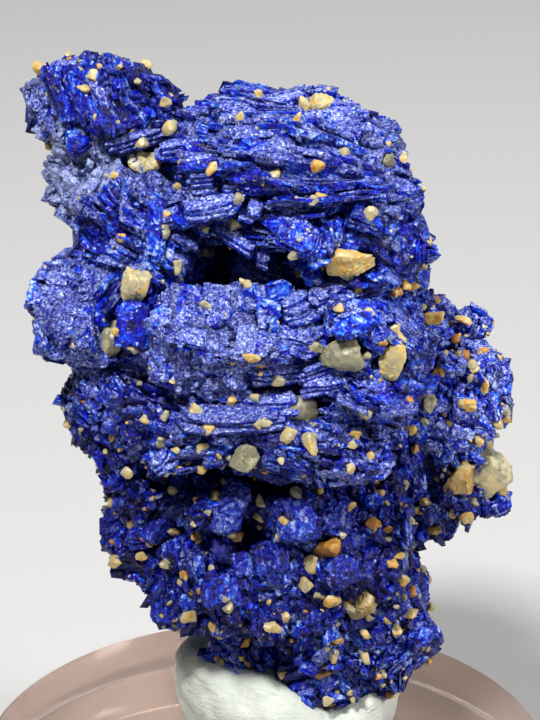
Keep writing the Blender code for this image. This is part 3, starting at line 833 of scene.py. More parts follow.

# More of them: the corners of their outlines, as read from the photo in its pixels, and then the
# same last four values.
FACE_OUTLINES = (
    (((48, 62), (76, 51), (86, 84), (74, 96), (63, 79)), (0.1, 0.3, 0.95), 0.1, 0.8, 0.4),
    (((47, 66), (62, 80), (72, 100), (62, 110), (54, 86)), (-0.7, 0, 0.7), 0.1, 0.1, 0.4),
    (((73, 86), (85, 92), (97, 118), (104, 133), (92, 139), (83, 118)), (-0.5, 0, 0.85), 0.2, 0.1, 0.3),
    (((86, 91), (103, 84), (108, 112), (110, 131), (104, 133), (96, 116)),
     (0.3, 0.1, 0.95), 0.1, 0.8, 0.3),
    (((106, 94), (119, 91), (120, 98), (107, 101)), (0.1, 0.2, 0.97), 0.1, 0.0, 0.5),
    (((130, 93), (143, 89), (145, 97), (131, 100)), (0, 0.3, 0.95), 0.1, 0.0, 0.4),
    (((119, 107), (145, 106), (145, 119), (132, 127), (108, 133), (108, 113)),
     (0.15, 0.1, 0.97), 0.1, 0.0, 0.2),
    (((60, 109), (66, 103), (74, 106), (80, 118), (73, 122), (62, 121)),
     (-0.3, 0.3, 0.9), 0.1, 0.0, 0.1),
    (((64, 127), (76, 123), (80, 129), (72, 142), (66, 137)), (-0.2, 0.4, 0.9), 0.2, 0.0, 0.1),
    (((72, 143), (76, 134), (84, 129), (91, 141), (84, 147), (75, 147)), (0, 0.4, 0.9), 0.3, 0.0, 0.1),
    (((104, 141), (120, 133), (140, 128), (165, 119), (152, 131), (128, 142), (106, 148)),
     (-0.1, 0.75, 0.65), 0.2, 0.9, 0.4),
    (((158, 142), (200, 132), (206, 137), (186, 143), (163, 148)), (-0.05, 0.85, 0.5), 0.3, 0.9, 0.4),
    (((160, 148), (185, 144), (186, 155), (162, 161)), (0, 0.1, 1), 0.2, 0.0, 0.3),
    (((187, 143), (203, 140), (204, 152), (188, 155)), (0.1, 0.1, 1), 0.2, 0.0, 0.5),
    (((179, 159), (213, 152), (215, 157), (181, 163)), (0, 0.8, 0.6), 0.3, 1.0, 0.4),
    (((181, 163), (215, 157), (215, 167), (184, 171)), (0, 0.05, 1), 0.3, 0.0, 0.2),
    (((186, 181), (220, 178), (216, 187), (196, 192), (188, 190)), (0, 0.7, 0.7), 0.3, 1.0, 0.4),
    (((222, 183), (241, 181), (242, 186), (224, 188)), (0, 0.8, 0.6), 0.3, 1.0, 0.4),
    (((190, 172), (212, 170), (213, 174), (192, 177)), (0, 0.8, 0.6), 0.3, 1.0, 0.4),
    (((232, 141), (240, 128), (250, 125), (276, 130), (272, 138), (260, 134), (245, 134)),
     (0.1, 0.6, 0.8), 0.2, 0.9, 0.4),
    (((237, 141), (246, 134), (268, 139), (262, 150), (250, 156), (238, 152)),
     (0, 0, 1), 0.1, 0.1, 0.5),
    (((300, 117), (310, 107), (345, 103), (372, 112), (373, 127), (345, 132), (318, 128)),
     (0.15, 0.65, 0.75), 0.1, 0.9, 0.4),
    (((240, 108), (262, 94), (299, 84), (306, 90), (303, 97), (280, 101), (262, 108)),
     (-0.2, 0.8, 0.5), 0.1, 0.7, 0.4),
    (((227, 169), (245, 166), (259, 171), (256, 181), (230, 180)), (-0.1, 0.2, 0.97), 0.1, 0.1, 0.1),
    (((243, 181), (263, 184), (262, 193), (240, 191)), (0.1, 0.2, 0.97), 0.1, 0.1, 0.2),
    (((183, 204), (190, 198), (215, 192), (233, 193), (231, 199), (214, 206), (187, 209)),
     (-0.1, 0.8, 0.6), 0.3, 0.9, 0.6),
    (((157, 197), (176, 190), (193, 192), (186, 198), (170, 205), (160, 205)),
     (-0.1, 0.8, 0.6), 0.3, 0.8, 0.6),
    (((184, 209), (207, 208), (197, 222), (180, 233)), (0.2, -0.1, 0.97), 0.2, 0.0, 0.6),
    (((156, 229), (166, 224), (164, 256), (160, 272), (152, 262)), (0.5, 0.2, 0.85), 0.2, 0.1, 0.7),
    (((147, 200), (156, 198), (160, 225), (154, 262), (146, 250)), (-0.3, 0.2, 0.93), 0.1, 0.1, 0.6),
    (((166, 240), (177, 238), (171, 268), (165, 268)), (0.4, 0.1, 0.9), 0.1, 0.1, 0.8),
    (((139, 226), (147, 222), (151, 288), (141, 284)), (-0.4, 0.2, 0.9), 0.1, 0.0, 0.6),
    (((156, 212), (170, 206), (178, 212), (170, 222), (158, 224)), (-0.2, 0.4, 0.9), 0.2, 0.8, 0.6),
    (((249, 204), (255, 195), (262, 201), (260, 213), (246, 214)), (0.3, 0.5, 0.8), 0.4, 0.9, 0.3),
    (((246, 214), (260, 213), (257, 228), (243, 226)), (0.3, 0.1, 0.95), 0.3, 0.1, 0.3),
    (((213, 222), (222, 216), (231, 224), (247, 232), (257, 243), (253, 252), (244, 247), (230, 238)),
     (0.2, 0.75, 0.6), 0.3, 0.8, 0.3),
    (((256, 234), (262, 240), (271, 256), (269, 262), (262, 254), (257, 242)),
     (0.5, 0.6, 0.6), 0.2, 0.9, 0.3),
    (((268, 206), (300, 212), (320, 236), (306, 250), (290, 246), (272, 232), (265, 222)),
     (-0.3, 0.5, 0.8), 0.6, 0.3, 0.1),
    (((307, 235), (322, 230), (327, 246), (318, 258), (308, 252)), (0, 0.4, 0.9), 0.0, 0.2, 0.9),
    (((297, 263), (310, 258), (313, 275), (300, 282)), (-0.5, 0.2, 0.85), 0.8, 0.1, 0.8),
    (((232, 262), (250, 252), (268, 262), (286, 258), (290, 276), (262, 284), (240, 280)),
     (0.1, 0.4, 0.9), 1.6, 0.5, 0.1),
    (((264, 285), (288, 279), (294, 292), (286, 302), (272, 300), (263, 293)),
     (0.1, 0.1, 0.98), 0.1, 0.0, 0.7),
    (((261, 285), (284, 273), (292, 278), (274, 284)), (-0.1, 0.8, 0.6), 0.2, 0.9, 0.5),
    (((247, 306), (262, 297), (276, 304), (281, 311), (262, 311)), (0, 0.1, 0.98), 0.2, 0.0, 0.6),
    (((281, 301), (304, 292), (308, 297), (284, 308)), (-0.2, 0.75, 0.6), 0.3, 1.0, 0.5),
    (((281, 309), (308, 300), (312, 306), (285, 315)), (-0.2, 0.75, 0.6), 0.3, 1.0, 0.5),
    (((286, 294), (303, 288), (306, 294), (289, 299)), (-0.2, 0.75, 0.6), 0.3, 0.9, 0.5),
    (((307, 287), (330, 276), (350, 277), (352, 284), (330, 296), (312, 301)),
     (-0.1, 0.7, 0.7), 0.2, 0.9, 0.5),
    (((327, 301), (345, 290), (391, 282), (374, 293), (350, 298), (335, 305)),
     (0, 0.7, 0.7), 0.2, 0.8, 0.5),
    (((347, 303), (366, 298), (392, 300), (388, 318), (376, 322), (366, 306)),
     (0.2, 0.1, 0.97), 0.0, 0.1, 0.9),
    (((337, 315), (362, 306), (365, 311), (342, 319)), (-0.1, 0.75, 0.65), 0.5, 0.9, 0.5),
    (((341, 319), (364, 311), (375, 325), (357, 332), (333, 329)), (0, 0.15, 0.98), 0.4, 0.1, 0.5),
    (((252, 322), (285, 314), (302, 322), (325, 340), (318, 345), (300, 338), (262, 334)),
     (0.2, 0.6, 0.75), 0.1, 0.6, 0.7),
    (((262, 362), (300, 357), (311, 364), (300, 372), (268, 369), (250, 367)),
     (0.1, 0.6, 0.8), 0.1, 0.7, 0.5),
    (((262, 387), (285, 385), (310, 378), (307, 384), (284, 391), (262, 392)),
     (0, 0.7, 0.7), 0.2, 1.0, 0.4),
    (((303, 366), (324, 358), (333, 361), (320, 367), (304, 372)), (0, 0.7, 0.7), 0.3, 0.9, 0.3),
    (((304, 373), (334, 362), (337, 368), (311, 379)), (0, 0.1, 0.98), 0.2, 0.0, 0.4),
    (((309, 373), (334, 369), (345, 376), (325, 386), (304, 385)), (0, 0.5, 0.85), 0.2, 0.8, 0.5),
    (((241, 388), (262, 391), (296, 392), (298, 400), (275, 403), (243, 395)),
     (-0.1, 0.7, 0.7), 0.2, 0.9, 0.6),
    (((177, 413), (215, 404), (262, 404), (281, 418), (262, 415), (220, 415), (180, 421)),
     (0, 0.7, 0.7), 0.2, 0.9, 0.5),
    (((118, 303), (140, 300), (151, 312), (149, 340), (132, 347), (117, 331)),
     (0.1, 0.1, 0.98), 0.1, 0.0, 0.2),
    (((86, 298), (98, 292), (110, 300), (109, 318), (99, 326), (88, 318)),
     (-0.2, 0.2, 0.95), 0.1, 0.0, 0.5),
    (((160, 504), (172, 502), (173, 512), (157, 534), (146, 543), (142, 538), (152, 520)),
     (-0.2, 0.2, 0.95), 0.2, 0.1, 0.2),
    (((128, 528), (150, 522), (147, 534), (133, 539), (124, 533)), (-0.1, 0.4, 0.9), 0.2, 0.1, 0.2),
    (((118, 548), (130, 541), (138, 544), (134, 552), (124, 558), (117, 554)),
     (-0.3, 0.3, 0.9), 0.1, 0.1, 0.2),
    (((192, 479), (198, 474), (207, 478), (208, 494), (194, 494)), (0.1, 0.2, 0.97), 0.1, 0.1, 0.1),
    (((190, 503), (206, 503), (207, 519), (200, 527), (192, 519)), (0, 0.2, 0.97), 0.3, 0.2, 0.1),
    (((192, 499), (207, 497), (208, 501), (192, 503)), (0, 0.8, 0.6), 0.4, 0.1, 0.3),
    (((224, 483), (240, 478), (252, 485), (248, 500), (240, 520),
      (229, 529), (208, 524), (212, 510), (222, 500)),
     (-0.1, 0.25, 0.95), 0.3, 0.1, 0.7),
    (((228, 566), (240, 552), (250, 548), (253, 562), (250, 578), (232, 581)),
     (0.2, 0.1, 0.97), 0.2, 0.1, 0.6),
    (((251, 546), (268, 542), (270, 560), (261, 575), (253, 566)), (-0.2, 0.15, 0.97), 0.3, 0.1, 0.4),
    (((272, 546), (288, 543), (289, 566), (277, 573), (272, 560)), (0.1, 0.15, 0.97), 0.2, 0.1, 0.3),
    (((273, 501), (298, 494), (312, 500), (308, 530), (297, 542), (284, 528), (277, 515)),
     (0.1, 0.3, 0.95), 0.3, 0.1, 0.7),
    (((96, 479), (108, 471), (117, 476), (113, 486), (100, 490)), (-0.4, 0.3, 0.85), 0.1, 0.1, 0.3),
    (((98, 506), (119, 498), (126, 506), (118, 521), (104, 516)), (-0.4, 0.2, 0.9), 0.1, 0.1, 0.5),
    (((158, 547), (180, 534), (191, 545), (188, 560), (170, 573), (161, 560)),
     (-0.2, 0.2, 0.95), 0.2, 0.1, 0.1),
    (((146, 561), (156, 552), (163, 560), (151, 570)), (-0.3, 0.5, 0.8), 0.3, 0.1, 0.4),
    (((150, 611), (165, 600), (183, 606), (187, 622), (165, 623), (151, 616)),
     (-0.3, 0.2, 0.93), 0.1, 0.2, 0.7),
    (((170, 470), (180, 457), (185, 480), (180, 500), (168, 498)), (-0.3, 0.1, 0.95), 0.1, 0.1, 0.5),
    (((151, 457), (166, 448), (161, 461), (153, 470)), (-0.4, 0.4, 0.8), 0.2, 0.8, 0.7),
    (((320, 505), (345, 500), (352, 515), (338, 530), (322, 522)), (0, 0.3, 0.95), 0.2, 0.1, 0.8),
    (((330, 560), (352, 552), (362, 570), (345, 585), (330, 578)), (0.1, 0.2, 0.97), 0.2, 0.1, 0.6),
    (((200, 580), (225, 572), (235, 590), (218, 605), (202, 600)), (0, 0.3, 0.95), 0.2, 0.1, 0.5),
    (((300, 600), (325, 592), (335, 612), (315, 625), (300, 618)), (0, 0.2, 0.95), 0.1, 0.2, 0.3),
)
TURN_STEP = 3  # between the turns that are tried for the box round an outline, in degrees
THINNEST = 0.1  # half width of an oval at least, in mm
FACE_CRYSTAL_LAYERS = 3
FACE_CRYSTAL_STEP = 0.2  # from one layer to the next, in mm
FACE_CRYSTAL_ROOT = 0.4  # how far each reaches back into the surface behind it, in mm
FACE_CRYSTAL_SPREAD = 0.05  # how much larger each layer is than the one over it, in mm


def trees_of(pieces):
    """Trees for casting rays at the pieces."""
    graph = bpy.context.evaluated_depsgraph_get()
    return [BVHTree.FromObject(piece, graph) for piece in pieces]


def first_hit(trees, start, way):
    """The nearest place of the trees along a ray, in mm, or None."""
    best, nearest = None, math.inf
    for tree in trees:
        place, _, _, distance = tree.ray_cast(Vector(start * MM), Vector(way))
        if place is not None and distance < nearest:
            best, nearest = np.array(place) / MM, distance
    return best


def face_place(trees, across, up):
    """What the camera sees at mm right of and above its aim, or None, and the way it looks there."""
    way = unit(CAMERA_FRAME @ np.array([across, up, -CAMERA_DISTANCE]))
    return first_hit(trees, EYE, way), way


def chipped(rng, size, corners=13):
    """A box outline of the half sizes, with its sides broken unevenly."""
    turns = (np.arange(corners) + rng.uniform(-0.4, 0.4, corners)) / corners * TAU
    boxy = (np.abs(np.cos(turns)) ** 9 + np.abs(np.sin(turns)) ** 9) ** (-1 / 9)
    reach = boxy * rng.uniform(0.74, 1.02, corners)
    return np.stack([np.cos(turns) * reach, np.sin(turns) * reach], axis=1) * size


def oval_of(outline):
    """Middle, half length, half width and turn of the smallest box round an outline, in mm."""
    x, y = np.array(outline, float).T
    boxes = []
    for turn in range(0, 180, TURN_STEP):
        cos, sin = math.cos(math.radians(turn)), math.sin(math.radians(turn))
        along, over = x * cos - y * sin, -x * sin - y * cos
        right, high = (along.max() + along.min()) / 2, (over.max() + over.min()) / 2
        middle = (right * cos - high * sin, -right * sin - high * cos)
        boxes.append((np.ptp(along) * np.ptp(over), middle, np.ptp(along), np.ptp(over), turn))
    _, middle, long, wide, turn = min(boxes, key=lambda box: box[0])
    if wide > long:
        long, wide, turn = wide, long, turn + 90
    half_length, half_width = size_of(long / 2, wide / 2)
    return (*at_pixel(*middle), half_length, max(half_width, THINNEST), (turn + 90) % 180 - 90)


def add_face_crystal(skin, rng, centre, back, half, turn, facet, frost, tint, bright):
    """A few ragged layers that face along the facet, with roots that reach back."""
    cos, sin = math.cos(turn), math.sin(turn)
    spin = np.array([[cos, sin], [-sin, cos]])
    for layer in range(FACE_CRYSTAL_LAYERS):
        size = half + FACE_CRYSTAL_SPREAD * layer
        flat = (chipped(rng, size) + rng.normal(0, 0.04, 2) * layer) @ spin
        depth = -(flat @ facet[:2]) / facet[2]
        ring = np.column_stack([flat, depth.clip(-0.8, 0.8)]) - facet * FACE_CRYSTAL_STEP * layer
        top = centre + (ring * [0.97, 0.97, 1]) @ CAMERA_FRAME.T
        edge = centre + (ring - facet * 0.02) @ CAMERA_FRAME.T
        foot = centre + (ring - facet * FACE_CRYSTAL_STEP * 0.8) @ CAMERA_FRAME.T
        sides = len(ring)
        order = np.arange(sides)
        quads = side_quads(sides)
        # Painted shade: the back face and roots are drawn at 0.3 of the crystal's brightness and the
        # sides at 0.5 to 0.9 of it, darker than the edge and top.
        skin.add(order[None, ::-1], 0, tint, 0.3 * bright)
        skin.add(quads, 0, tint, 0.3 * bright)
        skin.add(quads + sides, frost * 0.3, tint, rng.uniform(0.5, 0.9) * bright)
        skin.add(quads + 2 * sides, min(frost + 0.1, 1), tint, bright)
        skin.add(order[None] + 3 * sides, frost, tint, bright)
        skin.close(np.concatenate([foot + back, foot, edge, top]))


def azurite_face(azurite, finish):
    """Larger single crystals, each set on the surface that the camera sees behind its middle."""
    trees = trees_of(azurite)
    rng = np.random.default_rng(91)
    skin = Skin()
    outlined = tuple((*oval_of(outline), *looks) for outline, *looks in FACE_OUTLINES)
    for across, up, long, wide, turn, facet, proud, frost, tint in FACE_CRYSTALS + outlined:
        place, way = face_place(trees, across, up)
        if place is None:
            continue
        centre = place - way * proud
        bright = books.bright[books.nearest(centre[None])][0] * rng.uniform(0.7, 1.3)
        facet = np.array(facet) / np.linalg.norm(facet)
        add_face_crystal(skin, rng, centre, way * (proud + FACE_CRYSTAL_ROOT), np.array([long, wide]),
                         math.radians(turn), facet, frost, tint, bright)
    return skin.object("azurite_face_crystals", finish, bent=False)


# ---- Quartz sand ----

# Sand grains seen on the face: mm right of and above the camera's aim in its own plane, the
# grain's half length and half width in mm, and its colour from 0, clear grey, to 1, orange.
FACE_GRAINS = (
    (-7.5, 11.9, 0.3, 0.25, 0.4), (-7.7, 11.4, 0.35, 0.3, 0.5), (-6.3, 12.3, 0.2, 0.2, 0.5),
    (-5.2, 12.4, 0.3, 0.2, 0.5), (-5.6, 11.7, 0.2, 0.2, 0.4), (-4.4, 10.8, 0.3, 0.3, 0.5),
    (-4.2, 9.7, 0.42, 0.4, 0.4), (-5.4, 9.1, 0.35, 0.3, 0.4), (-6.6, 7.7, 0.3, 0.2, 0.6),
    (-0.5, 11.1, 0.25, 0.2, 0.5), (-1.3, 10.1, 0.25, 0.35, 0.3), (1.5, 10.7, 0.25, 0.4, 0.5),
    (1.1, 10.1, 0.2, 0.35, 0.6), (3.2, 8.8, 0.3, 0.25, 0.3), (4.9, 8.5, 0.35, 0.45, 0.1),
    (5.6, 8.5, 0.3, 0.25, 0.5), (2.0, 8.1, 0.35, 0.3, 0.8), (0.2, 7.8, 0.3, 0.25, 0.4),
    (2.1, 6.9, 0.45, 0.28, 0.9), (4.3, 6.2, 0.4, 0.4, 0.4), (-2.4, 8.1, 0.3, 0.3, 0.7),
    (1.0, 4.4, 0.25, 0.25, 0.4), (-3.9, 7.3, 0.25, 0.2, 0.5), (-1.4, 6.7, 0.3, 0.3, 0.3),
    (-1.5, 5.6, 0.3, 0.3, 0.3), (-2.5, 4.5, 0.35, 0.3, 0.3), (-1.8, 3.2, 0.35, 0.3, 0.3),
    (-1.0, 3.2, 0.35, 0.3, 0.4), (-3.9, 4.0, 0.35, 0.3, 0.3), (5.3, 2.9, 0.4, 0.35, 0.8),
    (5.7, 3.1, 0.3, 0.3, 0.8), (7.0, 1.8, 0.55, 0.35, 0.7), (8.1, 1.7, 0.35, 0.25, 0.6),
    (3.7, 3.0, 0.3, 0.25, 0.7), (2.9, 2.2, 0.3, 0.25, 0.5), (5.3, 1.2, 0.3, 0.25, 0.6),
    (-0.7, 0.1, 0.4, 0.25, 0.7), (-3.2, -2.1, 0.3, 0.25, 0.5), (-4.1, -2.0, 0.25, 0.2, 0.5),
    (-5.3, -2.5, 0.25, 0.2, 0.5), (-6.6, -3.2, 0.25, 0.2, 0.5), (-1.6, -1.7, 0.3, 0.3, 0.5),
    (-0.6, -1.6, 0.25, 0.3, 0.4), (-2.6, -2.9, 0.3, 0.3, 0.5), (-0.5, -2.7, 0.3, 0.25, 0.4),
    (-2.8, -3.7, 0.3, 0.25, 0.6), (-3.9, -3.8, 0.25, 0.2, 0.5), (0.3, -0.8, 0.3, 0.3, 0.3),
    (3.6, -3.1, 0.3, 0.35, 0.6), (3.5, -3.6, 0.25, 0.3, 0.5), (4.7, 0.7, 0.25, 0.2, 0.9),
    (1.9, 0.6, 0.35, 0.3, 0.3), (0.8, -3.1, 0.45, 0.4, 0.4), (1.7, -3.6, 0.5, 0.4, 0.4),
    (9.0, 0.4, 0.35, 0.25, 0.9), (9.0, -1.1, 0.4, 0.3, 0.7), (7.1, -0.5, 0.45, 0.4, 0.9),
    (8.4, -0.2, 0.35, 0.25, 0.4), (9.9, -2.1, 0.3, 0.35, 0.2), (9.2, -3.6, 0.35, 0.3, 0.4),
    (7.0, -7.1, 0.4, 0.3, 0.7), (6.1, -6.3, 0.35, 0.25, 0.7), (7.0, 2.5, 0.25, 0.2, 0.9),
    (6.0, 3.1, 0.3, 0.25, 0.8), (8.1, -4.4, 0.25, 0.2, 0.6), (7.6, -2.7, 0.25, 0.2, 0.5),
    (6.6, -1.6, 0.3, 0.25, 0.9), (8.4, -2.0, 0.25, 0.25, 0.6), (8.8, -3.4, 0.3, 0.3, 0.6),
    (8.2, -6.6, 0.35, 0.35, 0.6), (7.7, -6.4, 0.3, 0.3, 0.6), (6.6, -6.0, 0.3, 0.3, 0.6),
    (6.1, -3.7, 0.3, 0.3, 0.9), (5.9, -2.9, 0.25, 0.25, 0.6), (4.9, -7.1, 0.3, 0.25, 1.0),
    (4.3, -6.9, 0.5, 0.35, 1.0), (2.4, -8.0, 0.5, 0.35, 1.0), (-2.9, -4.6, 0.3, 0.2, 0.6),
    (-2.3, -5.8, 0.3, 0.3, 0.5), (-5.8, -6.9, 0.35, 0.25, 0.8), (-4.1, -7.2, 0.3, 0.25, 0.6),
    (-5.4, -8.2, 0.3, 0.25, 0.6), (-7.2, -5.9, 0.3, 0.3, 0.6), (-6.7, -6.0, 0.25, 0.3, 0.6),
    (-0.4, -6.6, 0.35, 0.3, 0.4), (-0.4, -6.0, 0.25, 0.35, 0.5), (-1.4, -7.4, 0.35, 0.25, 0.7),
    (1.1, -5.7, 0.35, 0.4, 0.4), (0.6, -6.8, 0.3, 0.25, 0.6), (1.8, -8.5, 0.35, 0.4, 0.5),
    (1.5, -9.4, 0.4, 0.4, 0.4), (-3.6, -9.1, 0.25, 0.3, 0.8), (-3.3, -9.7, 0.35, 0.25, 0.6),
    (-3.4, -10.8, 0.35, 0.35, 0.5), (-1.8, -10.4, 0.3, 0.35, 0.3), (-2.4, -11.2, 0.2, 0.3, 0.7),
    (0.1, -11.2, 0.35, 0.3, 0.5), (0.6, -10.8, 0.3, 0.25, 0.6), (-1.0, -11.9, 0.4, 0.3, 0.7),
    (-1.0, -12.7, 0.3, 0.3, 0.6), (-2.0, -12.6, 0.25, 0.25, 0.5), (0.5, -13.2, 0.25, 0.25, 0.5),
    (2.1, -13.2, 0.4, 0.3, 0.8), (4.2, -4.1, 0.3, 0.25, 0.6), (3.4, -4.5, 0.3, 0.25, 0.5),
    (4.5, -5.1, 0.4, 0.25, 0.6), (3.4, -6.1, 0.3, 0.25, 0.7), (5.4, -8.2, 0.35, 0.25, 0.7),
    (5.1, -8.6, 0.3, 0.25, 0.7), (5.5, -9.2, 0.3, 0.3, 0.7), (6.0, -9.8, 0.3, 0.35, 1.0),
    (6.0, -10.6, 0.4, 0.3, 0.5), (3.7, -10.3, 0.3, 0.25, 0.6), (6.9, -9.2, 0.25, 0.25, 0.6),
    (4.0, -11.5, 0.3, 0.25, 0.6), (2.8, -11.8, 0.3, 0.25, 0.9), (5.3, -11.4, 0.3, 0.25, 0.6),
    (4.0, -12.6, 0.25, 0.25, 0.5), (4.7, -13.2, 0.35, 0.3, 0.4), (2.4, -14.3, 0.3, 0.25, 0.4),
)
FACE_GRAIN_SIZE = 0.75  # of these half sizes
FACE_GRAIN_PROUD = 0.2  # how far a grain's middle stands out, in half widths
LOOSE_GRAINS = 2000
LOOSE_SIZES = (0.05, 0.34)  # least and greatest half length, in mm
LOOSE_RAY = 1.5  # how far from the solid the rays that set them down start, in mm
LOOSE_HUES = ((0.1, 0.12), (0.35, 0.28), (0.5, 0.3), (0.65, 0.18), (0.95, 0.12))  # and their shares
STONE_CORNER = 1.4  # how far a grain's corners reach at most, in half sizes
STONE_LOBES = 2.2  # how much the phase of its low swellings varies

# The largest grains: how golden each is, and its size across, deep and high, for its solid's.
LARGE_LOOKS = {
    "shoulder": (0.6, (0.88, 1.1, 1.45)),
    "middle": (-0.05, (0.85, 1.0, 0.9)),
    "middle_right": (0.5, (1.05, 1.1, 1.25)),
    "belt": (-0.05, (0.75, 1.0, 0.95)),
    "waist": (-0.05, (0.95, 1.0, 0.75)),
    "left_upper": (0.35, (1.0, 1.1, 1.3)),
    "left_lower": (0.3, (1.1, 1.1, 1.25)),
    "foot": (0.55, (1.15, 1.1, 1.45)),
    "body": (1.0, (0.9, 1.1, 1.15)),
    "crown": (0.45, (0.95, 1.1, 1.25)),
    "crown_left": (0.4, (1.1, 1.1, 1.1)),
    "right_tip": (0.25, (1.3, 1.1, 1.25)),
    "right_tip_small": (0.65, (1.1, 1.1, 1.2)),
    "back": (0.4, (1.1, 1.1, 1.1)),
    "back_low": (0.4, (1.1, 1.1, 1.1)),
}


def stone_directions(subdivisions):
    """Directions all round, and the triangles between them."""
    builder = bmesh.new()
    bmesh.ops.create_icosphere(builder, subdivisions=subdivisions, radius=1.0)
    points = np.array([vert.co for vert in builder.verts])
    faces = np.array([[vert.index for vert in face.verts] for face in builder.faces])
    builder.free()
    return points, faces


def stones(rng, directions, half_sizes, flats=9, sharpness=150):
    """Rounded broken grains, as how far each of the directions reaches, times half sizes."""
    count = len(half_sizes)
    normals = unit(rng.normal(size=(count, flats, 3)))
    distance = rng.uniform(0.6, 0.95, (count, flats))
    toward = np.einsum("dj,nfj->ndf", directions, normals).clip(0) / distance[:, None]
    reach = (toward ** sharpness).sum(axis=2) + (1 / STONE_CORNER) ** sharpness
    reach = reach ** (-1 / sharpness)
    lobes = rng.normal(size=(count, 3, 2))[..., :1] * STONE_LOBES
    for axis in range(3):
        reach *= 1 + 0.1 * np.sin(directions[:, axis] * 3 + lobes[:, axis])
    return directions[None] * reach[:, :, None] * half_sizes[:, None]


def stone_object(name, rng, centres, frames, half_sizes, hues, finish, subdivisions):
    """Joined grains, each with its own colour. Finer meshes are rough and smoothly shaded."""
    directions, faces = stone_directions(subdivisions)
    local = stones(rng, directions, half_sizes)
    local += rng.normal(0, 0.03, local.shape) * half_sizes[:, None] * (subdivisions > 2)
    points = centres[:, None] + np.einsum("nij,npj->npi", frames, local)
    count, per = points.shape[:2]
    mesh = bpy.data.meshes.new(name)
    corners = (faces[None] + np.arange(count)[:, None, None] * per).reshape(-1, 3)
    mesh.from_pydata((points.reshape(-1, 3) * MM).tolist(), [], corners.tolist())
    # Painted shade: grains on the darker books are drawn darker.
    dim = 0.5 * (1 - books.bright[books.nearest(centres)]).clip(0, 1)
    for key, values in (("hue", hues), ("dim", dim)):
        layer = mesh.attributes.new(key, "FLOAT", "FACE")
        layer.data.foreach_set("value", np.repeat(values, len(faces)).astype(np.float32))
    if subdivisions > 2:
        mesh.shade_smooth()
        mesh.set_sharp_from_angle(angle=math.radians(22))
    mesh.materials.append(finish)
    return placed(name, mesh)


def sand_of_the_face(trees, rng, finish):
    """The grains that the table gives, each on the surface that the camera sees there."""
    grains = []
    for across, up, long, wide, hue in FACE_GRAINS:
        place, way = face_place(trees, across, up)
        if place is not None:
            centre = place - way * wide * FACE_GRAIN_PROUD
            grains.append((centre, -way, (long, wide, min(long, wide)), hue))
    centres, ways, sizes, hues = (np.array(column) for column in zip(*grains))
    frames = facing(ways, rng.normal(size=(len(grains), 3)) * [1, 0.2, 0.4])
    sizes = sizes * FACE_GRAIN_SIZE
    return stone_object("quartz_sand_coarse", rng, centres, frames, sizes, hues, finish, 3)


def sand_all_over(trees, rng, finish):
    """Smaller grains, thick on the granular books, that come in at uneven slants."""
    points, outward = surface_samples(rng, LOOSE_GRAINS * 2)
    density = 0.15 + 0.85 * books.loose[books.nearest(points)]
    # The draws differ, so that a grain comes in along the outward direction of another sample.
    points = points[rng.uniform(size=len(points)) < density]
    outward = outward[rng.uniform(size=len(outward)) < density]
    grains = []
    for point, way in zip(points[:LOOSE_GRAINS], outward[:LOOSE_GRAINS]):
        place = first_hit(trees, point + way * LOOSE_RAY, -way)
        if place is not None:
            grains.append((place, way))
    centres, ways = (np.array(column) for column in zip(*grains))
    count = len(grains)
    size = np.exp(rng.normal(-2.15, 0.5, count)).clip(*LOOSE_SIZES)
    wide = rng.uniform(0.7, 1, count)
    sizes = size[:, None] * np.stack([np.ones(count), wide, rng.uniform(0.6, 0.9, count)], axis=1)
    frames = facing(ways, rng.normal(size=(count, 3)))
    hues, common = zip(*LOOSE_HUES)
    hues = rng.choice(hues, count, p=common)
    return stone_object("quartz_sand_fine", rng, centres, frames, sizes, hues, finish, 2)


def quartz_sand(azurite, finish):
    """Small grains on the azurite: those of the face as listed, and more all over it."""
    trees = trees_of(azurite)
    rng = np.random.default_rng(77)
    return [sand_of_the_face(trees, rng, finish), sand_all_over(trees, rng, finish)]


def quartz_large(finish):
    """The largest grains, each in the place of its solid and about as large."""
    rng = np.random.default_rng(5)
    made = []
    for name in LARGE_GRAINS:
        middle, half = box_of(name)
        hue, share = LARGE_LOOKS[name.removeprefix("quartz_grain_")]
        piece = stone_object(name + "_stone", rng, middle[None], np.eye(3)[None],
                             (half * share)[None], np.array([hue]), finish, 4)
        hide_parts(name)
        made.append(piece)
    return made


# ---- Putty and round ----

PUTTY_SIDES = 180
PUTTY_RINGS = 60

# Round the putty: the turn from the right side in degrees, how high its rim reaches above the
# round in mm, how far up its wall is widest, and how wide its foot is for its widest place.
PUTTY_WALL = (
    (0, 4.3, 0.62, 0.86), (45, 4.9, 0.60, 0.90), (90, 5.1, 0.55, 0.92), (135, 5.2, 0.60, 0.88),
    (180, 5.5, 0.74, 0.80), (212, 5.7, 0.66, 0.80), (235, 5.2, 0.55, 0.84), (250, 5.5, 0.50, 0.88),
    (268, 5.1, 0.48, 0.90), (288, 3.9, 0.50, 0.92), (303, 3.2, 0.55, 0.92), (318, 4.0, 0.60, 0.90),
    (340, 4.8, 0.64, 0.88),
)

# Shares of the rings that make the putty's wall, the dome of its rim, and its dip to the azurite.
WALL_SHARE = 0.35
DOME_SHARE = 0.45
DIP_SHARE = 0.2
RIM_REACH = 9.0  # how far out the rays that find the azurite start, in mm
OPEN_REACH = 1.5  # how near the middle the rim ends where they find nothing, in mm
RIM_WIDTH = 0.75  # of the putty between the azurite and the outside, at least, in mm

ROUND_SIDES = 160
ROUND_BEVEL = 0.35
ROUND_BEVEL_STEPS = 5


def eased(values, steps=5):
    """Values round a ring, each made the mean of those near it."""
    return sum(np.roll(values, step) for step in range(-steps, steps + 1)) / (2 * steps + 1)


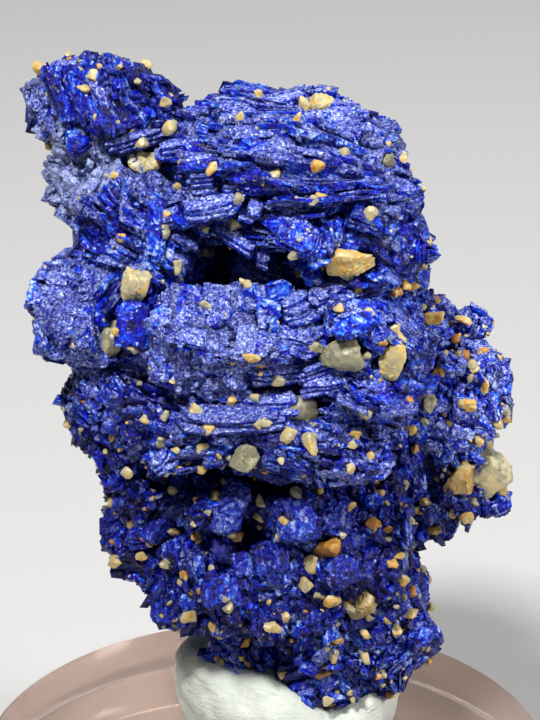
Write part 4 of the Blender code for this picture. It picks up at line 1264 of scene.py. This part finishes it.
def azurite_at_rim(core, middle, base, outward, wide, rim):
    """How far out the azurite reaches at the rim all round. The rim is lowered where it is too wide."""
    tree = trees_of([core])[0]
    held = np.empty(PUTTY_SIDES)
    for side, way in enumerate(outward):
        while True:
            start = middle + way * RIM_REACH
            start[2] = base + rim[side]
            place, _, _, distance = tree.ray_cast(Vector(start) * MM, -Vector(way))
            held[side] = OPEN_REACH if place is None else RIM_REACH - distance / MM
            if held[side] < wide[side] - RIM_WIDTH:
                break
            rim[side] -= 0.1
    return held


def putty_ring(share, wide, foot, held, rim, widest):
    """How far out and how high a ring lies, from the putty's foot over its rim to the azurite."""
    wall = min(share / WALL_SHARE, 1.0)
    dome = min(max((share - WALL_SHARE) / DOME_SHARE, 0.0), 1.0) * math.pi / 2
    dip = max((share - (1 - DIP_SHARE)) / DIP_SHARE, 0.0)
    reach = wide * (1 - (1 - foot) * (1 - wall) ** 1.5)
    reach -= (wide - held - 0.2) * (1 - math.cos(dome) ** 0.75)
    reach -= dip * 0.9
    level = rim * widest * wall + (rim * (1 - widest) + 0.1) * math.sin(dome) ** 0.85
    level -= dip ** 1.5 * 1.2
    return reach, level


def pressed(points, outward, base):
    """The putty's points after finger marks and creases, which fade out at its foot."""
    lift = np.minimum((points[:, 2:] - base) / 0.8, 1.0)
    creases = 1 - np.abs(waves(points, 2.6, 23)[:, :1]) * 2
    points = points + (waves(points, 3.4, 21) * 0.13 * lift + waves(points, 1.1, 22) * 0.04 * lift)
    return points - outward * creases.clip(0) ** 4 * 0.12 * lift


def putty(core, finish):
    """A pressed lump whose thick, rounded rim leans on the azurite's foot all round."""
    middle, half = box_of("putty")
    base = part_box("display_round")[1].z / MM + 0.01
    turns = np.arange(PUTTY_SIDES) / PUTTY_SIDES * TAU
    table = np.array(PUTTY_WALL).T
    rim, widest, foot = (np.interp(turns, np.radians(table[0]), row, period=TAU) for row in table[1:])
    outward = np.column_stack([np.cos(turns), np.sin(turns), np.zeros(PUTTY_SIDES)])
    wide = 1 / np.hypot(outward[:, 0] / half[0], outward[:, 1] / half[1])
    wide *= 0.955 + 0.02 * np.sin(3 * turns + 1) + 0.012 * np.sin(5 * turns)
    held = azurite_at_rim(core, middle, base, outward, wide, rim)
    rim, held = eased(rim), eased(held)
    rings = []
    for number in range(PUTTY_RINGS):
        reach, level = putty_ring(number / (PUTTY_RINGS - 1), wide, foot, held, rim, widest)
        ring = middle + outward * reach[:, None] + [0, 0, base - middle[2]]
        ring[:, 2] += level
        rings.append(ring)
    points = pressed(np.concatenate(rings), np.tile(outward, (PUTTY_RINGS, 1)), base)
    made = ringed("putty_lump", points * MM, PUTTY_SIDES, finish)
    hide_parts("putty")
    return made


def display_round(finish):
    """The polished round, its rims softly rounded."""
    low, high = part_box("display_round")
    radius = (high.x - low.x) / 2
    bevel = ROUND_BEVEL * MM
    around = [TAU * side / ROUND_SIDES for side in range(ROUND_SIDES)]
    points = []
    for level, turn_from in ((low.z + bevel, -90), (high.z - bevel, 0)):
        for step in range(ROUND_BEVEL_STEPS + 1):
            turn = math.radians(turn_from + 90 * step / ROUND_BEVEL_STEPS)
            reach = radius - bevel + bevel * math.cos(turn)
            height = level + bevel * math.sin(turn)
            points += [(reach * math.cos(way), reach * math.sin(way), height) for way in around]
    made = ringed("clear_round", np.array(points), ROUND_SIDES, finish)
    made.data.set_sharp_from_angle(angle=math.radians(30))
    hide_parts("display_round")
    return made


# ---- Materials ----

class Nodes:
    """Short calls for building a material's nodes."""

    def __init__(self, name):
        self.material = bpy.data.materials.new(name)
        self.material.use_nodes = True
        self.tree = self.material.node_tree
        self.shader = self.tree.nodes["Principled BSDF"]

    def node(self, kind, **settings):
        made = self.tree.nodes.new("ShaderNode" + kind)
        for key, value in settings.items():
            if key in made.inputs:
                self.feed(made.inputs[key], value)
            else:
                setattr(made, key, value)
        return made

    def feed(self, socket, value):
        if isinstance(value, bpy.types.NodeSocket):
            self.tree.links.new(value, socket)
        else:
            socket.default_value = value

    def fed(self, made, *values):
        """The node, with its first inputs given."""
        for socket, value in zip(made.inputs, values):
            self.feed(socket, value)
        return made

    def set(self, **values):
        for key, value in values.items():
            self.feed(self.shader.inputs[key.replace("_", " ")], value)

    def value(self, name):
        return self.node("Attribute", attribute_name=name).outputs["Fac"]

    def vector(self, name):
        return self.node("Attribute", attribute_name=name).outputs["Vector"]

    def place(self):
        return self.node("NewGeometry").outputs["Position"]

    def noise(self, vector, scale, detail=3.0, roughness=0.6):
        made = self.node("TexNoise", Vector=vector, Scale=scale, Detail=detail, Roughness=roughness)
        return made.outputs["Fac"]

    def voronoi(self, vector, scale, feature="F1"):
        return self.node("TexVoronoi", feature=feature, Vector=vector, Scale=scale)

    def luck(self, cells):
        """A random number from 0 to 1 for each cell."""
        return self.fed(self.node("SeparateColor"), cells.outputs["Color"]).outputs[0]

    def stretched(self, vector, scale):
        return self.node("Mapping", Vector=vector, Scale=scale).outputs["Vector"]

    def shaken(self, vector, scale, size):
        """A place moved about by noise, by up to half the size in metres."""
        noise = self.node("TexNoise", Vector=vector, Scale=scale, Detail=2.0)
        made = self.node("VectorMath", operation="MULTIPLY_ADD")
        return self.fed(made, noise.outputs["Color"], (size, size, size), vector).outputs[0]

    def range(self, value, low, high, to_low=0.0, to_high=1.0):
        return self.fed(self.node("MapRange"), value, low, high, to_low, to_high).outputs["Result"]

    def math(self, operation, first, second):
        return self.fed(self.node("Math", operation=operation), first, second).outputs[0]

    def total(self, *terms):
        """The sum of values given as (value, weight)."""
        parts = [self.math("MULTIPLY", value, weight) for value, weight in terms]
        total = parts[0]
        for part in parts[1:]:
            total = self.math("ADD", total, part)
        return total

    def mix(self, share, first, second, blend="MIX"):
        made = self.node("Mix", data_type="RGBA", blend_type=blend)
        for index, value in ((0, share), (6, first), (7, second)):
            self.feed(made.inputs[index], value)
        return made.outputs[2]

    def times(self, first, second):
        return self.mix(1.0, first, second, "MULTIPLY")

    def ramp(self, value, *stops):
        made = self.fed(self.node("ValToRGB"), value)
        elements = made.color_ramp.elements
        while len(elements) < len(stops):
            elements.new(0.5)
        for element, (spot, colour) in zip(elements, stops):
            element.position = spot
            element.color = (*colour, 1.0)
        return made.outputs[0]

    def bump(self, *layers):
        """Bump from heights given as (value, strength, distance in mm)."""
        normal = None
        for value, strength, distance in layers:
            made = self.node("Bump", Strength=strength, Distance=distance * MM, Height=value)
            if normal is not None:
                self.feed(made.inputs["Normal"], normal)
            normal = made.outputs["Normal"]
        self.feed(self.shader.inputs["Normal"], normal)


def azurite_strata(nodes, place):
    """Thin, uneven layers that follow the books."""
    bent = nodes.fed(
        nodes.node("VectorMath", operation="ADD"),
        nodes.stretched(nodes.vector("local"), (0.7, 0.7, 5.0)),
        nodes.noise(place, 1500.0, 2.0, 0.5),
    )
    return nodes.noise(bent.outputs[0], 1.0, 4.0, 0.7)


def azurite_deep(nodes, place, strata, cells):
    """The colour of fresh crystal, from nearly black to bright blue."""
    hue = nodes.noise(place, 450.0, 2.0, 0.5)
    level = nodes.total(
        (strata, 1.5), (nodes.luck(cells), 0.35), (nodes.value("tint"), 0.3), (hue, 0.6)
    )
    return nodes.ramp(
        nodes.range(level, 0.98, 1.76), (0.10, (0.0006, 0.0005, 0.07)), (0.26, (0.0010, 0.0010, 0.26)),
        (0.42, (0.002, 0.005, 0.50)), (0.58, (0.004, 0.04, 0.74)), (0.74, (0.015, 0.18, 0.84)),
        (0.88, (0.50, 0.60, 0.92)),
    )


def azurite_pale(nodes, place, frost, mottle):
    """The colour of the frosted skin: mottled, cracked into cobbles, and chalky where frost is thick."""
    pale = nodes.ramp(
        mottle, (0.38, (0.002, 0.004, 0.28)), (0.44, (0.018, 0.04, 0.52)), (0.51, (0.15, 0.21, 0.68)),
        (0.57, (0.47, 0.55, 0.86)), (0.64, (0.92, 0.94, 0.98)),
    )
    cracks = nodes.voronoi(nodes.shaken(place, 2500.0, 0.0006), 3800.0, "DISTANCE_TO_EDGE")
    cobbles = nodes.range(cracks.outputs["Distance"], 0.0, 0.1, 0.15, 1.0)
    pale = nodes.mix(cobbles, (0.002, 0.004, 0.28, 1), pale)
    return nodes.mix(nodes.range(frost, 1.0, 1.9, 0.0, 0.75), pale, (0.40, 0.47, 0.68, 1))


def azurite_material():
    """Glassy deep blue crystal in thin layers, frosted pale violet where its faces are weathered."""
    nodes = Nodes("azurite_crystal")
    place = nodes.place()
    frost = nodes.value("frost")
    strata = azurite_strata(nodes, place)
    cells = nodes.voronoi(place, 5200.0)
    mottle = nodes.noise(place, 7000.0, 4.0, 0.9)
    patch = nodes.noise(place, 1600.0, 4.0, 0.7)
    cover = nodes.range(nodes.math("ADD", frost, patch), 0.78, 1.06)
    deep = azurite_deep(nodes, place, strata, cells)
    colour = nodes.mix(cover, deep, azurite_pale(nodes, place, frost, mottle))

    specks = nodes.voronoi(place, 10000.0)
    chance = nodes.luck(specks)
    dim = nodes.mix(nodes.range(chance, 0.0, 0.4), (0.25, 0.25, 0.5, 1), (1, 1, 1, 1))
    # Painted glints: pale blue specks mixed into the colour in patches.
    glints = nodes.range(chance, 0.88, 0.93, 0.0, 0.8)
    glints = nodes.math("MULTIPLY", glints, nodes.range(patch, 0.46, 0.6))
    colour = nodes.mix(glints, nodes.times(colour, dim), (0.50, 0.64, 0.97, 1))
    # Painted light and shade: the shade value scales the colour down toward deep indigo, and frosted
    # skin keeps at least half its brightness.
    lit = nodes.math("MAXIMUM", nodes.value("shade"), nodes.math("MULTIPLY", cover, 0.5))
    shade = nodes.ramp(lit, (0.0, (0.008, 0.006, 0.16)), (1.0, (1.0, 1.0, 1.0)))
    nodes.set(Base_Color=nodes.times(colour, shade), Roughness=nodes.range(cover, 0.0, 1.0, 0.16, 0.38))
    nodes.set(IOR=1.5, Specular_IOR_Level=0.34)
    nodes.bump((strata, 0.9, 0.08), (mottle, 0.8, 0.06), (cells.outputs["Distance"], 1.0, 0.1),
               (specks.outputs["Distance"], 0.7, 0.05))
    return nodes.material


def quartz_material():
    """Grey, cream, amber and orange sand, slightly see-through, with rusty stains."""
    nodes = Nodes("quartz_sand")
    place = nodes.place()
    cloud = nodes.noise(place, 2200.0, 3.0, 0.6)
    stain = nodes.noise(place, 3400.0, 3.0, 0.7)
    shifted = nodes.math("ADD", nodes.value("hue"), nodes.range(cloud, 0.3, 0.7, -0.2, 0.2))
    shifted = nodes.math("ADD", shifted, nodes.range(stain, 0.35, 0.65, -0.2, 0.22))
    colour = nodes.ramp(
        shifted, (0.0, (0.21, 0.20, 0.125)), (0.3, (0.42, 0.38, 0.24)), (0.5, (0.54, 0.43, 0.19)),
        (0.75, (0.56, 0.34, 0.07)), (1.0, (0.46, 0.18, 0.02)),
    )
    # Painted shade: grains are darkened toward brown by the dim value.
    colour = nodes.mix(nodes.value("dim"), colour, (0.10, 0.06, 0.02, 1))
    nodes.set(Base_Color=colour, Roughness=0.45, IOR=1.54, Transmission_Weight=0.12)
    nodes.set(Subsurface_Weight=0.35, Subsurface_Scale=0.0004, Subsurface_Radius=(1.0, 0.8, 0.5))
    nodes.bump((cloud, 0.5, 0.05), (nodes.noise(place, 9000.0, 2.0), 0.4, 0.015))
    return nodes.material


def putty_material():
    """Matte white putty with fine finger lines."""
    nodes = Nodes("putty_white")
    place = nodes.place()
    cloud = nodes.noise(place, 700.0, 3.0, 0.6)
    colour = nodes.mix(nodes.range(cloud, 0.3, 0.7), (0.47, 0.50, 0.44, 1), (0.63, 0.65, 0.58, 1))
    wave = nodes.node("TexWave", Vector=nodes.stretched(place, (0.5, 0.8, 1.0)), Scale=260.0,
                      Distortion=5.0, Detail=2.0, bands_direction="Z")
    nodes.feed(wave.inputs["Detail Scale"], 0.8)
    nodes.set(Base_Color=colour, Roughness=0.8, Subsurface_Weight=0.1, Subsurface_Scale=0.0005)
    fibres = nodes.noise(nodes.stretched(place, (0.35, 0.35, 1.0)), 5200.0, 5.0, 0.75)
    nodes.bump((wave.outputs["Fac"], 0.6, 0.08), (fibres, 1.0, 0.2))
    return nodes.material


def round_material():
    """Acrylic, nearly clear and milky, with haze, fine scratches and a painted rosy tint."""
    nodes = Nodes("clear_acrylic_finish")
    scratch = nodes.noise(nodes.stretched(nodes.place(), (1.0, 6.0, 1.0)), 800.0, 4.0, 0.7)
    haze = nodes.range(nodes.noise(nodes.place(), 160.0, 5.0, 0.7), 0.5, 0.75, 0.02, 0.3)
    # Painted light: the rosy base colour stands for pink surroundings seen in the round, not the
    # acrylic's own colour.
    nodes.set(Base_Color=(1.0, 0.83, 0.74, 1), Roughness=haze, IOR=1.49, Transmission_Weight=0.88)
    nodes.bump((scratch, 0.05, 0.01))
    return nodes.material


# ---- Stage ----

FLOOR_REACH = 3.0  # half its width, in m
FLOOR_GAP = 0.01  # under the round, in mm

# Each light's name, place in mm, size in mm and power in watts.
LIGHTS = (
    ("key_light", (-90, -190, 340), 50, 2.2),
    ("side_light", (260, -120, 200), 90, 1.0),
    ("top_light", (40, 120, 380), 160, 0.6),
)


def stage_floor():
    mesh = bpy.data.meshes.new("floor")
    builder = bmesh.new()
    bmesh.ops.create_grid(builder, x_segments=1, y_segments=1, size=FLOOR_REACH)
    builder.to_mesh(mesh)
    builder.free()
    pale = Nodes("floor_pale")
    pale.set(Base_Color=(0.43, 0.426, 0.42, 1), Roughness=0.9)
    mesh.materials.append(pale.material)
    floor = placed("floor", mesh)
    floor.location.z = -FLOOR_GAP * MM


def stage_lights():
    world = bpy.data.worlds.new("studio")
    bpy.context.scene.world = world
    world.use_nodes = True
    background = world.node_tree.nodes["Background"]
    background.inputs["Color"].default_value = (0.95, 0.97, 1.0, 1)
    background.inputs["Strength"].default_value = 0.08
    bpy.context.scene.view_settings.view_transform = "Standard"
    for name, spot, size, power in LIGHTS:
        light = bpy.data.lights.new(name, "AREA")
        light.size = size * MM
        light.energy = power
        lamp = placed(name, light)
        lamp.location = Vector(spot) * MM
        aim = CAMERA_AIM * MM - lamp.location
        lamp.rotation_euler = aim.to_track_quat("-Z", "Y").to_euler()


def stage_camera():
    lens = bpy.data.cameras.new("camera")
    lens.lens = CAMERA_LENS
    lens.clip_start = 0.002
    camera = placed("camera", lens)
    eye = (CAMERA_AIM + Vector(CAMERA_FRAME[:, 2]) * CAMERA_DISTANCE) * MM
    camera.matrix_world = Matrix.Translation(eye) @ Matrix(CAMERA_FRAME.tolist()).to_4x4()
    bpy.context.scene.camera = camera


def main():
    stage_floor()
    stage_lights()
    stage_camera()
    azurite_finish = azurite_material()
    azurite = azurite_bricks(azurite_finish)
    azurite.append(azurite_scales(azurite_finish))
    azurite.append(azurite_blocks(azurite_finish))
    azurite.append(azurite_druse(azurite_finish))
    core = azurite_core(azurite_finish)
    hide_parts("azurite_cluster")
    azurite.append(core)
    bpy.context.view_layer.update()
    azurite.append(azurite_face(azurite, azurite_finish))
    bpy.context.view_layer.update()
    quartz_finish = quartz_material()
    quartz = quartz_sand(azurite, quartz_finish) + quartz_large(quartz_finish)
    for slot, pieces in (
        ("azurite", azurite),
        ("quartz", quartz),
        ("putty", [putty(core, putty_material())]),
        ("clear_acrylic", [display_round(round_material())]),
    ):
        for piece in pieces:
            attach(piece, "root")


main()
